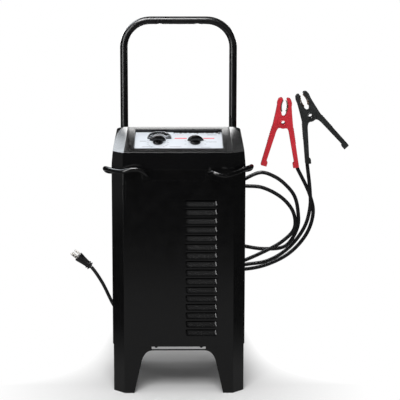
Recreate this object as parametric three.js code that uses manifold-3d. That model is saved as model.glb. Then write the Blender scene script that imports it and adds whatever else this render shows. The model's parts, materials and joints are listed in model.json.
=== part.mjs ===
// A wheeled car battery charger, as an assembly of separate solids.
// Units are millimetres. +X is the charger's right seen from the front, +Y its back, +Z up.
// Everything is laid out from a point under the cabinet's centre, just above the floor; the last lines
// move the whole group so that the part's own origin is at the bottom centre of its bounding box.
import * as THREE from "three";
import { mergeVertices } from "three/addons/utils/BufferGeometryUtils.js";
import Module from "manifold-3d";

const wasm = await Module();
wasm.setup();

// ---------------------------------------------------------------- driving dimensions

const GAP = 0.3; // clearance between pieces that touch or fit into each other
const SHEET = 1.5; // steel sheet

const GROUND = -5; // the floor, under the feet and wheels
const WIDTH = 323;
const DEPTH = 270;
const CORNER = 28; // 45 degree corner between the front and each side
const CABINET_BOTTOM = 114;
const CABINET_TOP = 556;
const CREASE = 596; // where the cap's upright band ends and its sloping top begins
const PEAK = 638.7;
const SLOPE = THREE.MathUtils.degToRad(20.4);
const ROOF_FALL = THREE.MathUtils.degToRad(12);
const CAP_WALL = 3;

const LOUVRE = { count: 16, x: 55.3, top: 471, pitch: 21.5, width: 77, height: 16, depth: 7.5 };
const BADGE = { halfWidth: 127, bottom: 480, top: 528 };

const LEG = {
  inset: SHEET + GAP, top: 128, footInner: 109, kneeInner: 92, kneeZ: 70, archHalf: 70, archZ: 104,
};
const SLOT = { halfWidth: 66, bottom: 107, top: 114 };

const RECESS = { from: 21, to: 110, halfBottom: 107.5, halfTop: 105, depth: 9 };
const TIMER = { x: -50, s: 60.5 };
const SELECTOR = { x: 40.7, s: 60.5 };
const METER = { x: -46.5, s: 77.8, inner: 15, outer: 29.5, top: -3 };
const SHAFT_R = 3;
const KNOB = { skirtR: 12.5, skirtHeight: 5.4, finHalf: 20.5, finLow: 4.9, finTop: 20, finWidth: 8 };

const HANDLE = { x: 135, y: 70, radius: 9.5, wall: 1.2, bottom: 430, top: 899, bend: 66 };
const HOOK_R = 5.5;

const WHEEL_R = 55;
const AXLE = { y: 100, z: GROUND + WHEEL_R, radius: 5 };
const WHEEL = { radius: WHEEL_R, inner: 110, outer: 152 };
const AXLE_BRACKET_X = 98;

const POWER_CORD_R = 4.4;
const DC_CABLE_R = 4.8;
const FRONT = -DEPTH / 2;
const REAR = DEPTH / 2;
const REAR_SKIN = REAR + GAP + SHEET; // outer face of the rear panel

const CLAMP = { half: 11, jaw: 62, handle: 108, hub: 15.5, eyelet: 5, boss: 8.5 };

// ---------------------------------------------------------------- materials

const paint = (color, roughness, metalness) => ({ color, roughness, metalness });
const BLACK_PAINT = paint(0x101113, 0.28, 0.3);
const BLACK_PLASTIC = paint(0x141517, 0.35, 0);
const DARK_PLASTIC = paint(0x1b1c1e, 0.5, 0);
const RUBBER = paint(0x151617, 0.6, 0);
const LABEL_WHITE = paint(0xe6eaf0, 0.4, 0);
const RED_PLASTIC = paint(0xc01f2b, 0.35, 0);
const STEEL = paint(0xb4b7ba, 0.35, 1);
const ALUMINIUM = paint(0xc3c6c9, 0.4, 1);
const BRASS = paint(0xb08a4a, 0.35, 1);
const COPPER = paint(0xb4683c, 0.4, 1);
const CORE_STEEL = paint(0x55585c, 0.5, 0.8);
const CLEAR = paint(0xdfe8ee, 0.08, 0);

const charger = new THREE.Group();

function add(name, solid, finish, parent = charger) {
  const mesh = new THREE.Mesh(geometryOf(solid), new THREE.MeshStandardMaterial(finish));
  mesh.name = name;
  parent.add(mesh);
  return mesh;
}

// ---------------------------------------------------------------- solids from three.js geometry

function solidOf(geometry) {
  const bare = geometry.index ? geometry.toNonIndexed() : geometry.clone();
  bare.deleteAttribute("normal");
  bare.deleteAttribute("uv");
  const merged = mergeVertices(bare, 1e-4);
  const vertProperties = merged.attributes.position.array;
  const triVerts = new Uint32Array(merged.index.array);
  return new wasm.Manifold(new wasm.Mesh({ numProp: 3, vertProperties, triVerts }));
}

function geometryOf(solid) {
  const mesh = solid.getMesh();
  const geometry = new THREE.BufferGeometry();
  geometry.setAttribute("position", new THREE.BufferAttribute(mesh.vertProperties, 3));
  geometry.setIndex(new THREE.BufferAttribute(mesh.triVerts, 1));
  geometry.computeVertexNormals();
  return geometry;
}

const join = (...solids) => solids.reduce((all, next) => all.add(next));
const cut = (body, ...tools) => tools.reduce((left, tool) => left.subtract(tool), body);
const shape = (points) => new THREE.Shape(points.map(([x, y]) => new THREE.Vector2(x, y)));
const degrees = THREE.MathUtils.degToRad;

function extruded(outline, length, curveSegments = 8) {
  const profile = Array.isArray(outline) ? shape(outline) : outline;
  return new THREE.ExtrudeGeometry(profile, { depth: length, bevelEnabled: false, curveSegments });
}

// Prisms along the three axes: outlines are (x, y), (y, z) and (x, z).
function alongZ(outline, z0, z1, curveSegments) {
  return solidOf(extruded(outline, z1 - z0, curveSegments).translate(0, 0, z0));
}

function alongX(outline, x0, x1, curveSegments) {
  const turn = new THREE.Matrix4().makeBasis(
    new THREE.Vector3(0, 1, 0),
    new THREE.Vector3(0, 0, 1),
    new THREE.Vector3(1, 0, 0),
  );
  return solidOf(extruded(outline, x1 - x0, curveSegments).applyMatrix4(turn).translate(x0, 0, 0));
}

function alongY(outline, y0, y1, curveSegments) {
  return solidOf(extruded(outline, y1 - y0, curveSegments).rotateX(Math.PI / 2).translate(0, y1, 0));
}

function box(x0, x1, y0, y1, z0, z1) {
  const block = new THREE.BoxGeometry(x1 - x0, y1 - y0, z1 - z0);
  return solidOf(block.translate((x0 + x1) / 2, (y0 + y1) / 2, (z0 + z1) / 2));
}

// A cylinder of the given radius between two points.
function bar(from, to, radius, sides = 16, endRadius = radius) {
  const a = new THREE.Vector3(...from);
  const b = new THREE.Vector3(...to);
  const geometry = new THREE.CylinderGeometry(endRadius, radius, a.distanceTo(b), sides);
  const turn = new THREE.Quaternion().setFromUnitVectors(
    new THREE.Vector3(0, 1, 0),
    b.clone().sub(a).normalize(),
  );
  const middle = a.clone().add(b).multiplyScalar(0.5);
  return solidOf(geometry.applyQuaternion(turn).translate(middle.x, middle.y, middle.z));
}

// A turned solid about the Z axis: profile points are (radius, z), going up the outside.
function turned(profile, sides = 20) {
  const points = profile.map(([r, z]) => new THREE.Vector2(r, z));
  return solidOf(new THREE.LatheGeometry(points, sides).rotateX(Math.PI / 2));
}

// A round rod swept smoothly through points, with the same number of steps between each two.
function rod(points, radius, stepsEach, sides) {
  const curve = new THREE.CatmullRomCurve3(
    points.map((p) => new THREE.Vector3(...p)),
    false,
    "centripetal",
  );
  curve.getUtoTmapping = (u) => u; // so that steps follow the points and not the length
  const ring = new THREE.Shape();
  ring.absarc(0, 0, radius, 0, 2 * Math.PI, false);
  const steps = (points.length - 1) * stepsEach;
  const swept = { steps, curveSegments: sides / 2, bevelEnabled: false, extrudePath: curve };
  return solidOf(new THREE.ExtrudeGeometry(ring, swept));
}

function moved(solid, x, y, z) {
  return solidOf(geometryOf(solid).translate(x, y, z));
}

// ---------------------------------------------------------------- cabinet sheet metal

// The cabinet's plan outline, drawn in by an inset: chamfered front corners, square rear ones.
function plan(inset, rear = REAR) {
  const x = WIDTH / 2 - inset;
  const front = -DEPTH / 2 + inset;
  const corner = CORNER - inset * 0.59;
  return [
    [-x + corner, front],
    [x - corner, front],
    [x, front + corner],
    [x, rear],
    [-x, rear],
    [-x, front + corner],
  ];
}

// One louvre is pressed inwards: flush along its bottom edge, deepest and open along its top.
// The hollow is this wedge, and the sheet round it is the same wedge grown by the sheet's thickness.
function louvreWedge(z, grow) {
  const low = z - LOUVRE.height / 2 - grow;
  const high = z + LOUVRE.height / 2;
  const half = LOUVRE.width / 2 + grow;
  const outline = [[FRONT, low], [FRONT + LOUVRE.depth + grow, high], [FRONT, high]];
  return alongX(outline, LOUVRE.x - half, LOUVRE.x + half);
}

// Sheet folded round the front and both sides, with a narrow flange turned in along each rear edge.
function cabinetShell() {
  const flange = 14;
  const opening = WIDTH / 2 - flange;
  const shell = cut(
    alongZ(plan(0), CABINET_BOTTOM, CABINET_TOP),
    alongZ(plan(SHEET, REAR - SHEET), CABINET_BOTTOM - 5, CABINET_TOP + 5),
    box(-opening, opening, 0, REAR + 5, CABINET_BOTTOM - 5, CABINET_TOP + 5),
  );
  const heights = Array.from({ length: LOUVRE.count }, (_, i) => LOUVRE.top - i * LOUVRE.pitch);
  const skins = heights.map((z) => louvreWedge(z, SHEET));
  const hollows = heights.map((z) => louvreWedge(z, 0));
  return cut(join(shell, ...skins), ...hollows);
}

const CORD_EXIT = [-100, 140];
const POSITIVE_EXIT = [92, 420];
const NEGATIVE_EXIT = [122, 458];
const GRIP = { neck: 7.5, flange: 10 };
const FAN = { x: -62, z: 430, half: 46, bore: 42 };
const VENT = { halfWidth: 42, height: 6, pitch: 12, count: 7 };

function ventSlots(x, z) {
  const slots = [];
  for (let i = 0; i < VENT.count; i++) {
    const low = z + (i - (VENT.count - 1) / 2) * VENT.pitch - VENT.height / 2;
    slots.push(box(x - VENT.halfWidth, x + VENT.halfWidth, REAR - 5, REAR + 5, low, low + VENT.height));
  }
  return slots;
}

function rearPanel() {
  const inset = 2.5;
  const sheet = box(
    -WIDTH / 2 + inset,
    WIDTH / 2 - inset,
    REAR + GAP,
    REAR_SKIN,
    CABINET_BOTTOM + 2,
    CABINET_TOP - 2,
  );
  const holes = [CORD_EXIT, POSITIVE_EXIT, NEGATIVE_EXIT].map(([x, z]) =>
    bar([x, REAR - 5, z], [x, REAR + 5, z], GRIP.neck + GAP),
  );
  return cut(sheet, ...holes, ...ventSlots(FAN.x, FAN.z), ...ventSlots(0, 235));
}

// A tray whose walls stand inside the leg frame's top edge.
const PAN_INSET = LEG.inset + SHEET + GAP;
const PAN_FLOOR = CABINET_BOTTOM + 2;

function bottomPan() {
  const rear = REAR - SHEET - GAP;
  return cut(
    alongZ(plan(PAN_INSET, rear), PAN_FLOOR, PAN_FLOOR + 14),
    alongZ(plan(PAN_INSET + SHEET, rear - SHEET), PAN_FLOOR + SHEET, PAN_FLOOR + 30),
  );
}

// Front legs: one folded strip round the front corners, arched out between two feet.
function legFrame() {
  const sideEnd = -50;
  const below = GROUND - 5;
  const strip = cut(
    alongZ(plan(LEG.inset, sideEnd), GROUND, LEG.top),
    alongZ(plan(LEG.inset + SHEET, sideEnd + 5), below, LEG.top + 5),
  );
  const arch = new THREE.Shape();
  arch.moveTo(LEG.footInner + 1, below);
  arch.lineTo(LEG.footInner, GROUND);
  arch.lineTo(LEG.kneeInner, LEG.kneeZ);
  arch.quadraticCurveTo(LEG.kneeInner - 6, LEG.archZ, LEG.archHalf - 8, LEG.archZ);
  arch.lineTo(-LEG.archHalf + 8, LEG.archZ);
  arch.quadraticCurveTo(-LEG.kneeInner + 6, LEG.archZ, -LEG.kneeInner, LEG.kneeZ);
  arch.lineTo(-LEG.footInner, GROUND);
  arch.lineTo(-LEG.footInner - 1, below);
  const opening = alongY(arch, FRONT - 5, FRONT + 20, 6);
  const slot = box(-SLOT.halfWidth, SLOT.halfWidth, FRONT - 5, FRONT + 20, SLOT.bottom, SLOT.top);
  const taper = alongX([[sideEnd + 1, below], [sideEnd + 1, 95], [sideEnd - 22, below]], -WIDTH, WIDTH);
  const footTop = GROUND + 2;
  const feet = alongZ(plan(LEG.inset + SHEET / 2, -84), GROUND, footTop);
  const betweenFeet = box(-LEG.footInner - 2, LEG.footInner + 2, FRONT - 5, 0, below, footTop + 5);
  return join(cut(strip, opening, slot, taper), cut(feet, betweenFeet));
}

// ---------------------------------------------------------------- moulded cap

// Big block lying on the outer side of a plane, for cutting a solid along that plane.
function beyondPlane(point, normal) {
  const size = 400;
  const block = new THREE.BoxGeometry(size, size, size).translate(0, 0, size / 2);
  const turn = new THREE.Quaternion().setFromUnitVectors(
    new THREE.Vector3(0, 0, 1),
    normal.clone().normalize(),
  );
  return solidOf(block.applyQuaternion(turn).translate(point.x, point.y, point.z));
}

const PEAK_Y = FRONT + (PEAK - CREASE) / Math.tan(SLOPE);
const EDGE_AT_CREASE = 131; // half width of the flat sloping face at its foot
const EDGE_AT_PEAK = 124; // and at its top

// Half of the cap's front view: nearly upright sides that round over into the shoulders.
const SHOULDER = [
  [WIDTH / 2, CABINET_TOP],
  [160.8, 568],
  [159.3, 584],
  [157.8, 598],
  [155.2, 612],
  [151.6, 622],
  [146.8, 628.5],
  [140, 634.5],
  [131, PEAK],
];

function capBody(inset) {
  const drop = inset / Math.cos(SLOPE);
  const foot = CREASE - drop + inset * Math.tan(SLOPE);
  const peakY = FRONT + (PEAK - inset - CREASE + drop) / Math.tan(SLOPE);
  const bottom = CABINET_TOP + GAP - inset * 5;
  const rearTop = PEAK - inset - (REAR - inset - peakY) * Math.tan(ROOF_FALL);
  const side = [
    [FRONT + inset, bottom],
    [FRONT + inset, foot],
    [peakY, PEAK - inset],
    [REAR - inset, rearTop],
    [REAR - inset, bottom],
  ];
  const right = SHOULDER.map(([x, z]) => {
    const lift = (z - CABINET_TOP) / (PEAK - CABINET_TOP);
    return [x - inset, z - inset * lift];
  });
  right[0][1] = bottom;
  const left = right.map(([x, z]) => [-x, z]).reverse();
  const normal = facetNormal();
  const shifted = (sign) => {
    const n = new THREE.Vector3(sign * normal.x, normal.y, normal.z);
    const point = new THREE.Vector3(sign * EDGE_AT_CREASE, FRONT, CREASE);
    return beyondPlane(point.addScaledVector(n, -inset), n);
  };
  const body = alongX(side, -WIDTH / 2, WIDTH / 2)
    .intersect(alongY([...right, ...left], -DEPTH, DEPTH))
    .intersect(alongZ(plan(inset, REAR), CABINET_TOP - 50, PEAK + 5));
  return cut(body, shifted(1), shifted(-1));
}

// The corner facets lie between the sloping face's edge and the 45 degree corner below the crease.
function facetNormal() {
  const edge = new THREE.Vector3(EDGE_AT_PEAK - EDGE_AT_CREASE, PEAK_Y - FRONT, PEAK - CREASE);
  const corner = new THREE.Vector3(1, 1, 0);
  return corner.cross(edge).normalize();
}

// The panel's own frame: x across, y up the slope from the crease, z out of the face.
function onPanel(solid) {
  return solidOf(geometryOf(solid).rotateX(SLOPE).translate(0, FRONT, CREASE));
}

const panelOutline = (grow) => [
  [-RECESS.halfBottom - grow, RECESS.from - grow],
  [RECESS.halfBottom + grow, RECESS.from - grow],
  [RECESS.halfTop + grow, RECESS.to + grow],
  [-RECESS.halfTop - grow, RECESS.to + grow],
];

// The meter's arch: a half ring round the foot of the needle's sweep.
function archOutline(inner, outer) {
  const arch = new THREE.Shape();
  arch.absarc(METER.x, METER.s, outer, 0, Math.PI, false);
  arch.absarc(METER.x, METER.s, inner, Math.PI, 0, true);
  return arch;
}

const FLOOR = -RECESS.depth; // the recess floor in the panel's frame
const TUB = FLOOR - CAP_WALL; // and its underside

function topCap() {
  const tub = onPanel(alongZ(panelOutline(CAP_WALL), TUB, -1));
  const pocket = onPanel(alongZ(panelOutline(0), FLOOR, 10));
  const shaftHoles = [TIMER, SELECTOR].map(({ x, s }) =>
    onPanel(bar([x, s, TUB - 5], [x, s, 5], SHAFT_R + 2.5)),
  );
  const arch = onPanel(alongZ(archOutline(METER.inner - GAP, METER.outer + GAP), TUB - 5, 5));
  const tubeHoles = [-1, 1].map((side) => {
    const x = side * HANDLE.x;
    return bar([x, HANDLE.y, CABINET_TOP - 10], [x, HANDLE.y, PEAK + 10], HANDLE.radius + GAP);
  });
  const shell = join(cut(capBody(0), capBody(CAP_WALL)), tub.intersect(capBody(0)));
  return cut(shell, pocket, arch, ...shaftHoles, ...tubeHoles);
}

// ---------------------------------------------------------------- control panel pieces

const LABEL = { bottom: FLOOR + GAP, top: FLOOR + GAP + 0.8 };

function panelLabel() {
  const sheet = alongZ(panelOutline(-0.5), LABEL.bottom, LABEL.top);
  const shaftHoles = [TIMER, SELECTOR].map(({ x, s }) => bar([x, s, -20], [x, s, 5], SHAFT_R + 2.5));
  const arch = alongZ(archOutline(METER.inner - GAP, METER.outer + GAP), -20, 5);
  return onPanel(cut(sheet, ...shaftHoles, arch));
}

// A pointer knob: a round skirt under a domed fin, pointed at one end. Drawn at the origin.
function knob(pointsRight) {
  const side = pointsRight ? 1 : -1;
  const { skirtR, skirtHeight, finHalf, finLow: low, finTop: top, finWidth } = KNOB;
  const skirt = turned([[0, 0], [skirtR, 0], [skirtR - 1, skirtHeight], [0, skirtHeight]], 20);
  const fin = new THREE.Shape();
  fin.moveTo(-side * (finHalf - 2), low);
  fin.lineTo(side * finHalf, low);
  fin.quadraticCurveTo(side * (finHalf - 5), top - 2, side * -1, top);
  fin.quadraticCurveTo(-side * (finHalf - 6), top - 1, -side * (finHalf - 1), low + 5);
  fin.lineTo(-side * (finHalf - 2), low);
  const blade = alongY(fin, -finWidth / 2, finWidth / 2, 5);
  const bore = bar([0, 0, -1], [0, 0, skirtHeight + 5], SHAFT_R + GAP, 12);
  return cut(join(skirt, blade), bore);
}

const KNOB_FOOT = LABEL.top + 0.6;
const BUSH_FOOT = TUB - 12; // top of the timer's and the switch's bodies

function shaft() {
  const top = KNOB_FOOT + KNOB.skirtHeight + 4.5;
  return bar([0, 0, BUSH_FOOT - 8], [0, 0, top], SHAFT_R, 12);
}

// A body with a bush that carries the shaft up to the panel's underside. Drawn at the origin.
function shaftCarrier(body) {
  const bush = bar([0, 0, BUSH_FOOT - 1], [0, 0, TUB - GAP], SHAFT_R + 2, 16);
  const bore = bar([0, 0, BUSH_FOOT - 8 - GAP], [0, 0, 0], SHAFT_R + GAP, 12);
  return cut(join(body, bush), bore);
}

const timerBody = () => box(-20, 20, -20, 20, BUSH_FOOT - 30, BUSH_FOOT);

function switchBody() {
  const tabs = [0, 1, 2, 3, 4].map((i) => {
    const turn = degrees(54 * i - 108);
    const [x, y] = [18 * Math.sin(turn), 18 * Math.cos(turn)];
    return box(x - 2, x + 2, y - 2, y + 2, BUSH_FOOT - 26, BUSH_FOOT - 10);
  });
  return join(bar([0, 0, BUSH_FOOT - 20], [0, 0, BUSH_FOOT], 19, 20), ...tabs);
}

const NEEDLE = { z: TUB - 6, reach: 22.5, turn: degrees(140) };
const METER_FLOOR = METER.top - 3;

// The ammeter: an arch that stands in the panel, over a flat chamber under it where the needle turns.
function meterHousing() {
  const { x, s } = METER;
  const halfDisc = (radius, grow) => {
    const d = new THREE.Shape();
    d.absarc(x, s, radius, 0, Math.PI, false);
    d.lineTo(x - radius, s - grow);
    d.lineTo(x + radius, s - grow);
    return d;
  };
  const arch = alongZ(archOutline(METER.inner, METER.outer), TUB - 2, METER.top);
  const dial = alongZ(archOutline(METER.inner + 1.5, METER.outer - 1.5), METER_FLOOR, METER.top + 1);
  const slot = new THREE.Shape();
  slot.absarc(x, s, NEEDLE.reach + 1.5, degrees(35), degrees(145), false);
  slot.absarc(x, s, NEEDLE.reach - 3, degrees(145), degrees(35), true);
  const chamber = alongZ(halfDisc(METER.outer - 2, 6), TUB - 11, TUB - GAP);
  const hollow = alongZ(halfDisc(METER.outer - 3.5, 4.5), TUB - 9.5, TUB - 2);
  const open = alongZ(slot, TUB - 5, METER.top + 1);
  const stub = bar([x, s, TUB - 10], [x, s, NEEDLE.z - 1], 1.2, 8);
  const vent = box(x - 3, x + 3, s - 8, s, TUB - 8, TUB - 4);
  return onPanel(join(cut(join(arch, chamber), dial, hollow, open, vent), stub));
}

// The needle turns on a stub under the panel, and only its tip stands up into the arch.
function meterNeedle() {
  const { z, reach } = NEEDLE;
  const arm = join(bar([0, 0, z], [0, 0, z + 1.5], 3, 12), box(0, reach, -0.8, 0.8, z, z + 1.2));
  const post = box(reach - 1.5, reach, -0.5, 0.5, z, METER_FLOOR + 1);
  const hand = box(reach - 5, reach + 3, -0.5, 0.5, METER_FLOOR + 0.5, METER_FLOOR + 1);
  const bore = bar([0, 0, z - 2], [0, 0, z + 0.9], 1.5, 8);
  const turn = new THREE.Matrix4().makeRotationZ(NEEDLE.turn);
  const laid = geometryOf(cut(join(arm, post, hand), bore)).applyMatrix4(turn);
  return onPanel(solidOf(laid.translate(METER.x, METER.s, 0)));
}

function meterLens() {
  const outline = archOutline(METER.inner + 1.5 + GAP, METER.outer - 1.5 - GAP);
  return onPanel(alongZ(outline, METER.top - 1.2, METER.top - 0.2));
}

function panelScrew() {
  const [x, s] = [99, RECESS.to - 7];
  const head = turned([[0, 0], [3.2, 0], [3.2, 1], [2.2, 2], [0, 2]], 16);
  const slot = box(-4, 4, -0.5, 0.5, 1.1, 3);
  return onPanel(moved(cut(head, slot), x, s, LABEL.top + GAP));
}

// ---------------------------------------------------------------- hooks and handle

// Cord hooks: a rod welded to a small plate on the front, bent round the corner to the side.
function cordHook(plateX, path) {
  const face = FRONT - GAP;
  const plate = box(plateX - 12, plateX + 12, face - 2.5, face, 530, 552);
  return join(plate, rod(path, HOOK_R, 2, 8));
}

const LEFT_HOOK_PATH = [
  [-76, -136.6, 541], [-76.2, -140, 541.6], [-81, -147.5, 549], [-93, -151.5, 557], [-112, -152, 558],
  [-134, -146, 552], [-156, -127, 551], [-173, -102, 550.5], [-178, -88, 548], [-173, -80, 541],
  [-166.5, -78, 539], [-162.5, -78, 539],
];
const RIGHT_HOOK_PATH = [
  [75, -136.6, 541], [75.1, -141, 541.8], [77, -156, 551], [83, -168, 553.5], [95, -174, 550],
  [110, -172, 547.5], [132, -157, 550], [155, -132, 554.5], [172.5, -99, 553.5], [177, -73, 550],
  [174, -61, 542], [166.5, -57, 539], [162.5, -57, 539],
];

// The handle is one bent tube: two upright legs, two quarter bends and a top bar.
function handlePath() {
  const { x, y, radius, bottom, top, bend } = HANDLE;
  const centre = top - radius - bend;
  const steps = 5;
  const quarter = (side) =>
    Array.from({ length: steps + 1 }, (_, i) => {
      const turn = (Math.PI / 2) * (i / steps);
      return [side * (x - bend + bend * Math.cos(turn)), y, centre + bend * Math.sin(turn)];
    });
  return [[-x, y, bottom], ...quarter(-1), ...quarter(1).reverse(), [x, y, bottom]];
}

function handleTube() {
  const inner = HANDLE.radius - HANDLE.wall;
  const bore = (x) => bar([x, HANDLE.y, HANDLE.bottom - 5], [x, HANDLE.y, HANDLE.top - 80], inner, 12);
  return cut(rod(handlePath(), HANDLE.radius, 1, 12), bore(-HANDLE.x), bore(HANDLE.x));
}

// A saddle on the inside of each side wall holds a leg of the handle.
function handleBracket(side) {
  const wall = WIDTH / 2 - SHEET - GAP;
  const x0 = HANDLE.x;
  const block = side > 0
    ? box(x0, wall, HANDLE.y - 18, HANDLE.y + 18, 445, 475)
    : box(-wall, -x0, HANDLE.y - 18, HANDLE.y + 18, 445, 475);
  const groove = bar([side * x0, HANDLE.y, 440], [side * x0, HANDLE.y, 480], HANDLE.radius + GAP, 16);
  return cut(block, groove);
}

// ---------------------------------------------------------------- wheels

const acrossX = (solid) => solidOf(geometryOf(solid).rotateY(Math.PI / 2));

function wheel(side) {
  const half = (WHEEL.outer - WHEEL.inner) / 2;
  const bore = AXLE.radius + GAP;
  const profile = [
    [bore, -half], [14, -half], [16, -half + 9], [38, -half + 9], [40, -half + 2], [50, -half + 1],
    [WHEEL.radius, -half + 6], [WHEEL.radius, half - 6], [50, half - 1], [40, half - 2],
    [38, half - 9], [16, half - 9], [14, half], [bore, half], [bore, -half],
  ];
  const centre = (WHEEL.inner + WHEEL.outer) / 2;
  return moved(acrossX(turned(profile, 20)), side * centre, AXLE.y, AXLE.z);
}

function axleCap(side) {
  const bore = AXLE.radius + 0.05;
  const ring = turned([[bore, 0], [9, 0], [8, 4], [bore, 4], [bore, 0]], 16);
  const facing = side > 0 ? ring : solidOf(geometryOf(ring).rotateY(Math.PI));
  return moved(acrossX(facing), side * (WHEEL.outer + 0.5), AXLE.y, AXLE.z);
}

function axleBracket(side) {
  const top = PAN_FLOOR - GAP;
  const outline = [
    [AXLE.y - 12, AXLE.z - 14], [AXLE.y + 12, AXLE.z - 14], [AXLE.y + 28, top], [AXLE.y - 45, top],
  ];
  const x0 = side * AXLE_BRACKET_X;
  const plate = alongX(outline, Math.min(x0, x0 + side * 3), Math.max(x0, x0 + side * 3));
  const inner = side * (AXLE_BRACKET_X - 22);
  const flange = box(
    Math.min(inner, x0), Math.max(inner, x0), AXLE.y - 45, AXLE.y + 28, top - 3, top,
  );
  const hole = bar([x0 - 10, AXLE.y, AXLE.z], [x0 + 10, AXLE.y, AXLE.z], AXLE.radius + 0.1, 16);
  return cut(join(plate, flange), hole);
}

// ---------------------------------------------------------------- what the cabinet holds inside

const CORE = { x: 60, y0: -45, y1: 45, z0: PAN_FLOOR + SHEET + GAP, height: 100, window: 22, limb: 19 };

function transformerCore() {
  const { x, y0, y1, z0, height, window, limb } = CORE;
  const windows = [-1, 1].map((side) => {
    const near = side * (x - limb);
    const far = side * (x - limb - window);
    return box(Math.min(near, far), Math.max(near, far), y0 - 5, y1 + 5, z0 + limb, z0 + height - limb);
  });
  return cut(box(-x, x, y0, y1, z0, z0 + height), ...windows);
}

function transformerWinding() {
  const { x, y0, y1, z0, height, window, limb } = CORE;
  const outer = x - limb - 1;
  const inner = x - limb - window + 1;
  const low = z0 + limb + 1;
  const high = z0 + height - limb - 1;
  return cut(
    box(-outer, outer, y0 - 20, y1 + 20, low, high),
    box(-inner, inner, y0 - 1, y1 + 1, low - 5, high + 5),
  );
}

function transformerStrap() {
  const { x, z0, height } = CORE;
  const thick = 2;
  const foot = 22; // how far each foot reaches out
  const halfWidth = 15;
  const inner = x + GAP;
  const outer = inner + thick;
  const top = z0 + height + GAP;
  const outside = [
    [-x - foot, z0], [x + foot, z0], [x + foot, z0 + thick], [outer, z0 + thick],
    [outer, top + thick], [-outer, top + thick], [-outer, z0 + thick], [-x - foot, z0 + thick],
  ];
  const hollow = box(-inner, inner, -halfWidth - 5, halfWidth + 5, z0 - 1, top);
  return cut(alongY(outside, -halfWidth, halfWidth), hollow);
}

const SINK = { x0: 0, x1: 120, y: 92, z0: 275, z1: 355, base: 4, fins: 7, finDepth: 26 };

function rectifierHeatsink() {
  const { x0, x1, y, z0, z1, base, fins, finDepth } = SINK;
  const pitch = (x1 - x0 - 2.5) / (fins - 1);
  const finList = Array.from({ length: fins }, (_, i) =>
    box(x0 + i * pitch, x0 + i * pitch + 2.5, y, y + base + finDepth, z0, z1),
  );
  return join(box(x0, x1, y, y + base, z0, z1), ...finList);
}

function rectifierDiode(x) {
  const face = SINK.y - GAP;
  const z = (SINK.z0 + SINK.z1) / 2;
  return join(
    bar([x, face, z], [x, face - 5, z], 13, 6),
    bar([x, face - 4, z], [x, face - 12, z], 9, 12),
    bar([x, face - 11, z], [x, face - 30, z], 2.5, 8),
  );
}

const FAN_FRONT = REAR - SHEET - GAP - 26;

function fanFrame() {
  const { x, z, half, bore } = FAN;
  const back = REAR - SHEET - GAP;
  const frame = cut(
    box(x - half, x + half, FAN_FRONT, back, z - half, z + half),
    bar([x, FAN_FRONT - 5, z], [x, back + 5, z], bore, 24),
  );
  const struts = [0, 120, 240].map((turn) => {
    const arm = box(0, bore + 2, -2, 2, 0, 3);
    return moved(
      solidOf(geometryOf(arm).rotateZ(degrees(turn + 90)).rotateX(Math.PI / 2)), x, back, z,
    );
  });
  return join(frame, bar([x, back - 3, z], [x, back, z], 18, 20), ...struts);
}

function fanRotor() {
  const { x, z, bore } = FAN;
  const hub = bar([0, 0, -9], [0, 0, 9], 16, 16);
  const blades = Array.from({ length: 7 }, (_, i) => {
    const blade = new THREE.BoxGeometry(bore - 18, 1.5, 20).translate((bore + 12) / 2, 0, 0);
    return solidOf(blade.rotateX(degrees(48)).rotateZ((2 * Math.PI * i) / 7));
  });
  const rotor = geometryOf(join(hub, ...blades)).rotateX(Math.PI / 2);
  return moved(solidOf(rotor), x, FAN_FRONT + 12, z);
}

const thermalBreaker = () =>
  join(
    box(90, 120, REAR - SHEET - GAP - 22, REAR - SHEET - GAP, 382, 402),
    box(96, 99, REAR - 34, REAR - 20, 388, 396),
    box(111, 114, REAR - 34, REAR - 20, 388, 396),
  );

// ---------------------------------------------------------------- cables

// A bush that grips a cable in the rear panel: a collar outside and a snap rim inside.
function cableGrip([x, z], cableR) {
  const bore = cableR + GAP;
  const inside = REAR - 4;
  const outside = REAR_SKIN + GAP;
  const profile = [
    [bore, 0], [GRIP.neck, 0], [GRIP.neck, outside - inside], [GRIP.flange, outside - inside],
    [GRIP.flange - 1, outside - inside + 3], [bore + 2, outside - inside + 7],
    [bore, outside - inside + 7], [bore, 0],
  ];
  const grip = solidOf(geometryOf(turned(profile, 12)).rotateX(-Math.PI / 2));
  return moved(grip, x, inside, z);
}

const EXIT_Y = REAR - 10; // where each cable starts, just inside the panel
const straightOut = ([x, z]) => [[x, EXIT_Y, z], [x, REAR + 5, z], [x, REAR + 11, z]];

// The mains cord hangs from its grip, round the cabinet's lower corner and up to the plug.
const powerCord = () =>
  rod(
    [
      ...straightOut(CORD_EXIT), [-103, 153, 138], [-116, 157, 127], [-135, 155, 119],
      [-153, 149, 122], [-167, 143, 141], [-195.5, 140, 201], [-213, 140, 230], [-224.4, 140, 245.4],
    ],
    POWER_CORD_R, 3, 8,
  );

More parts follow.
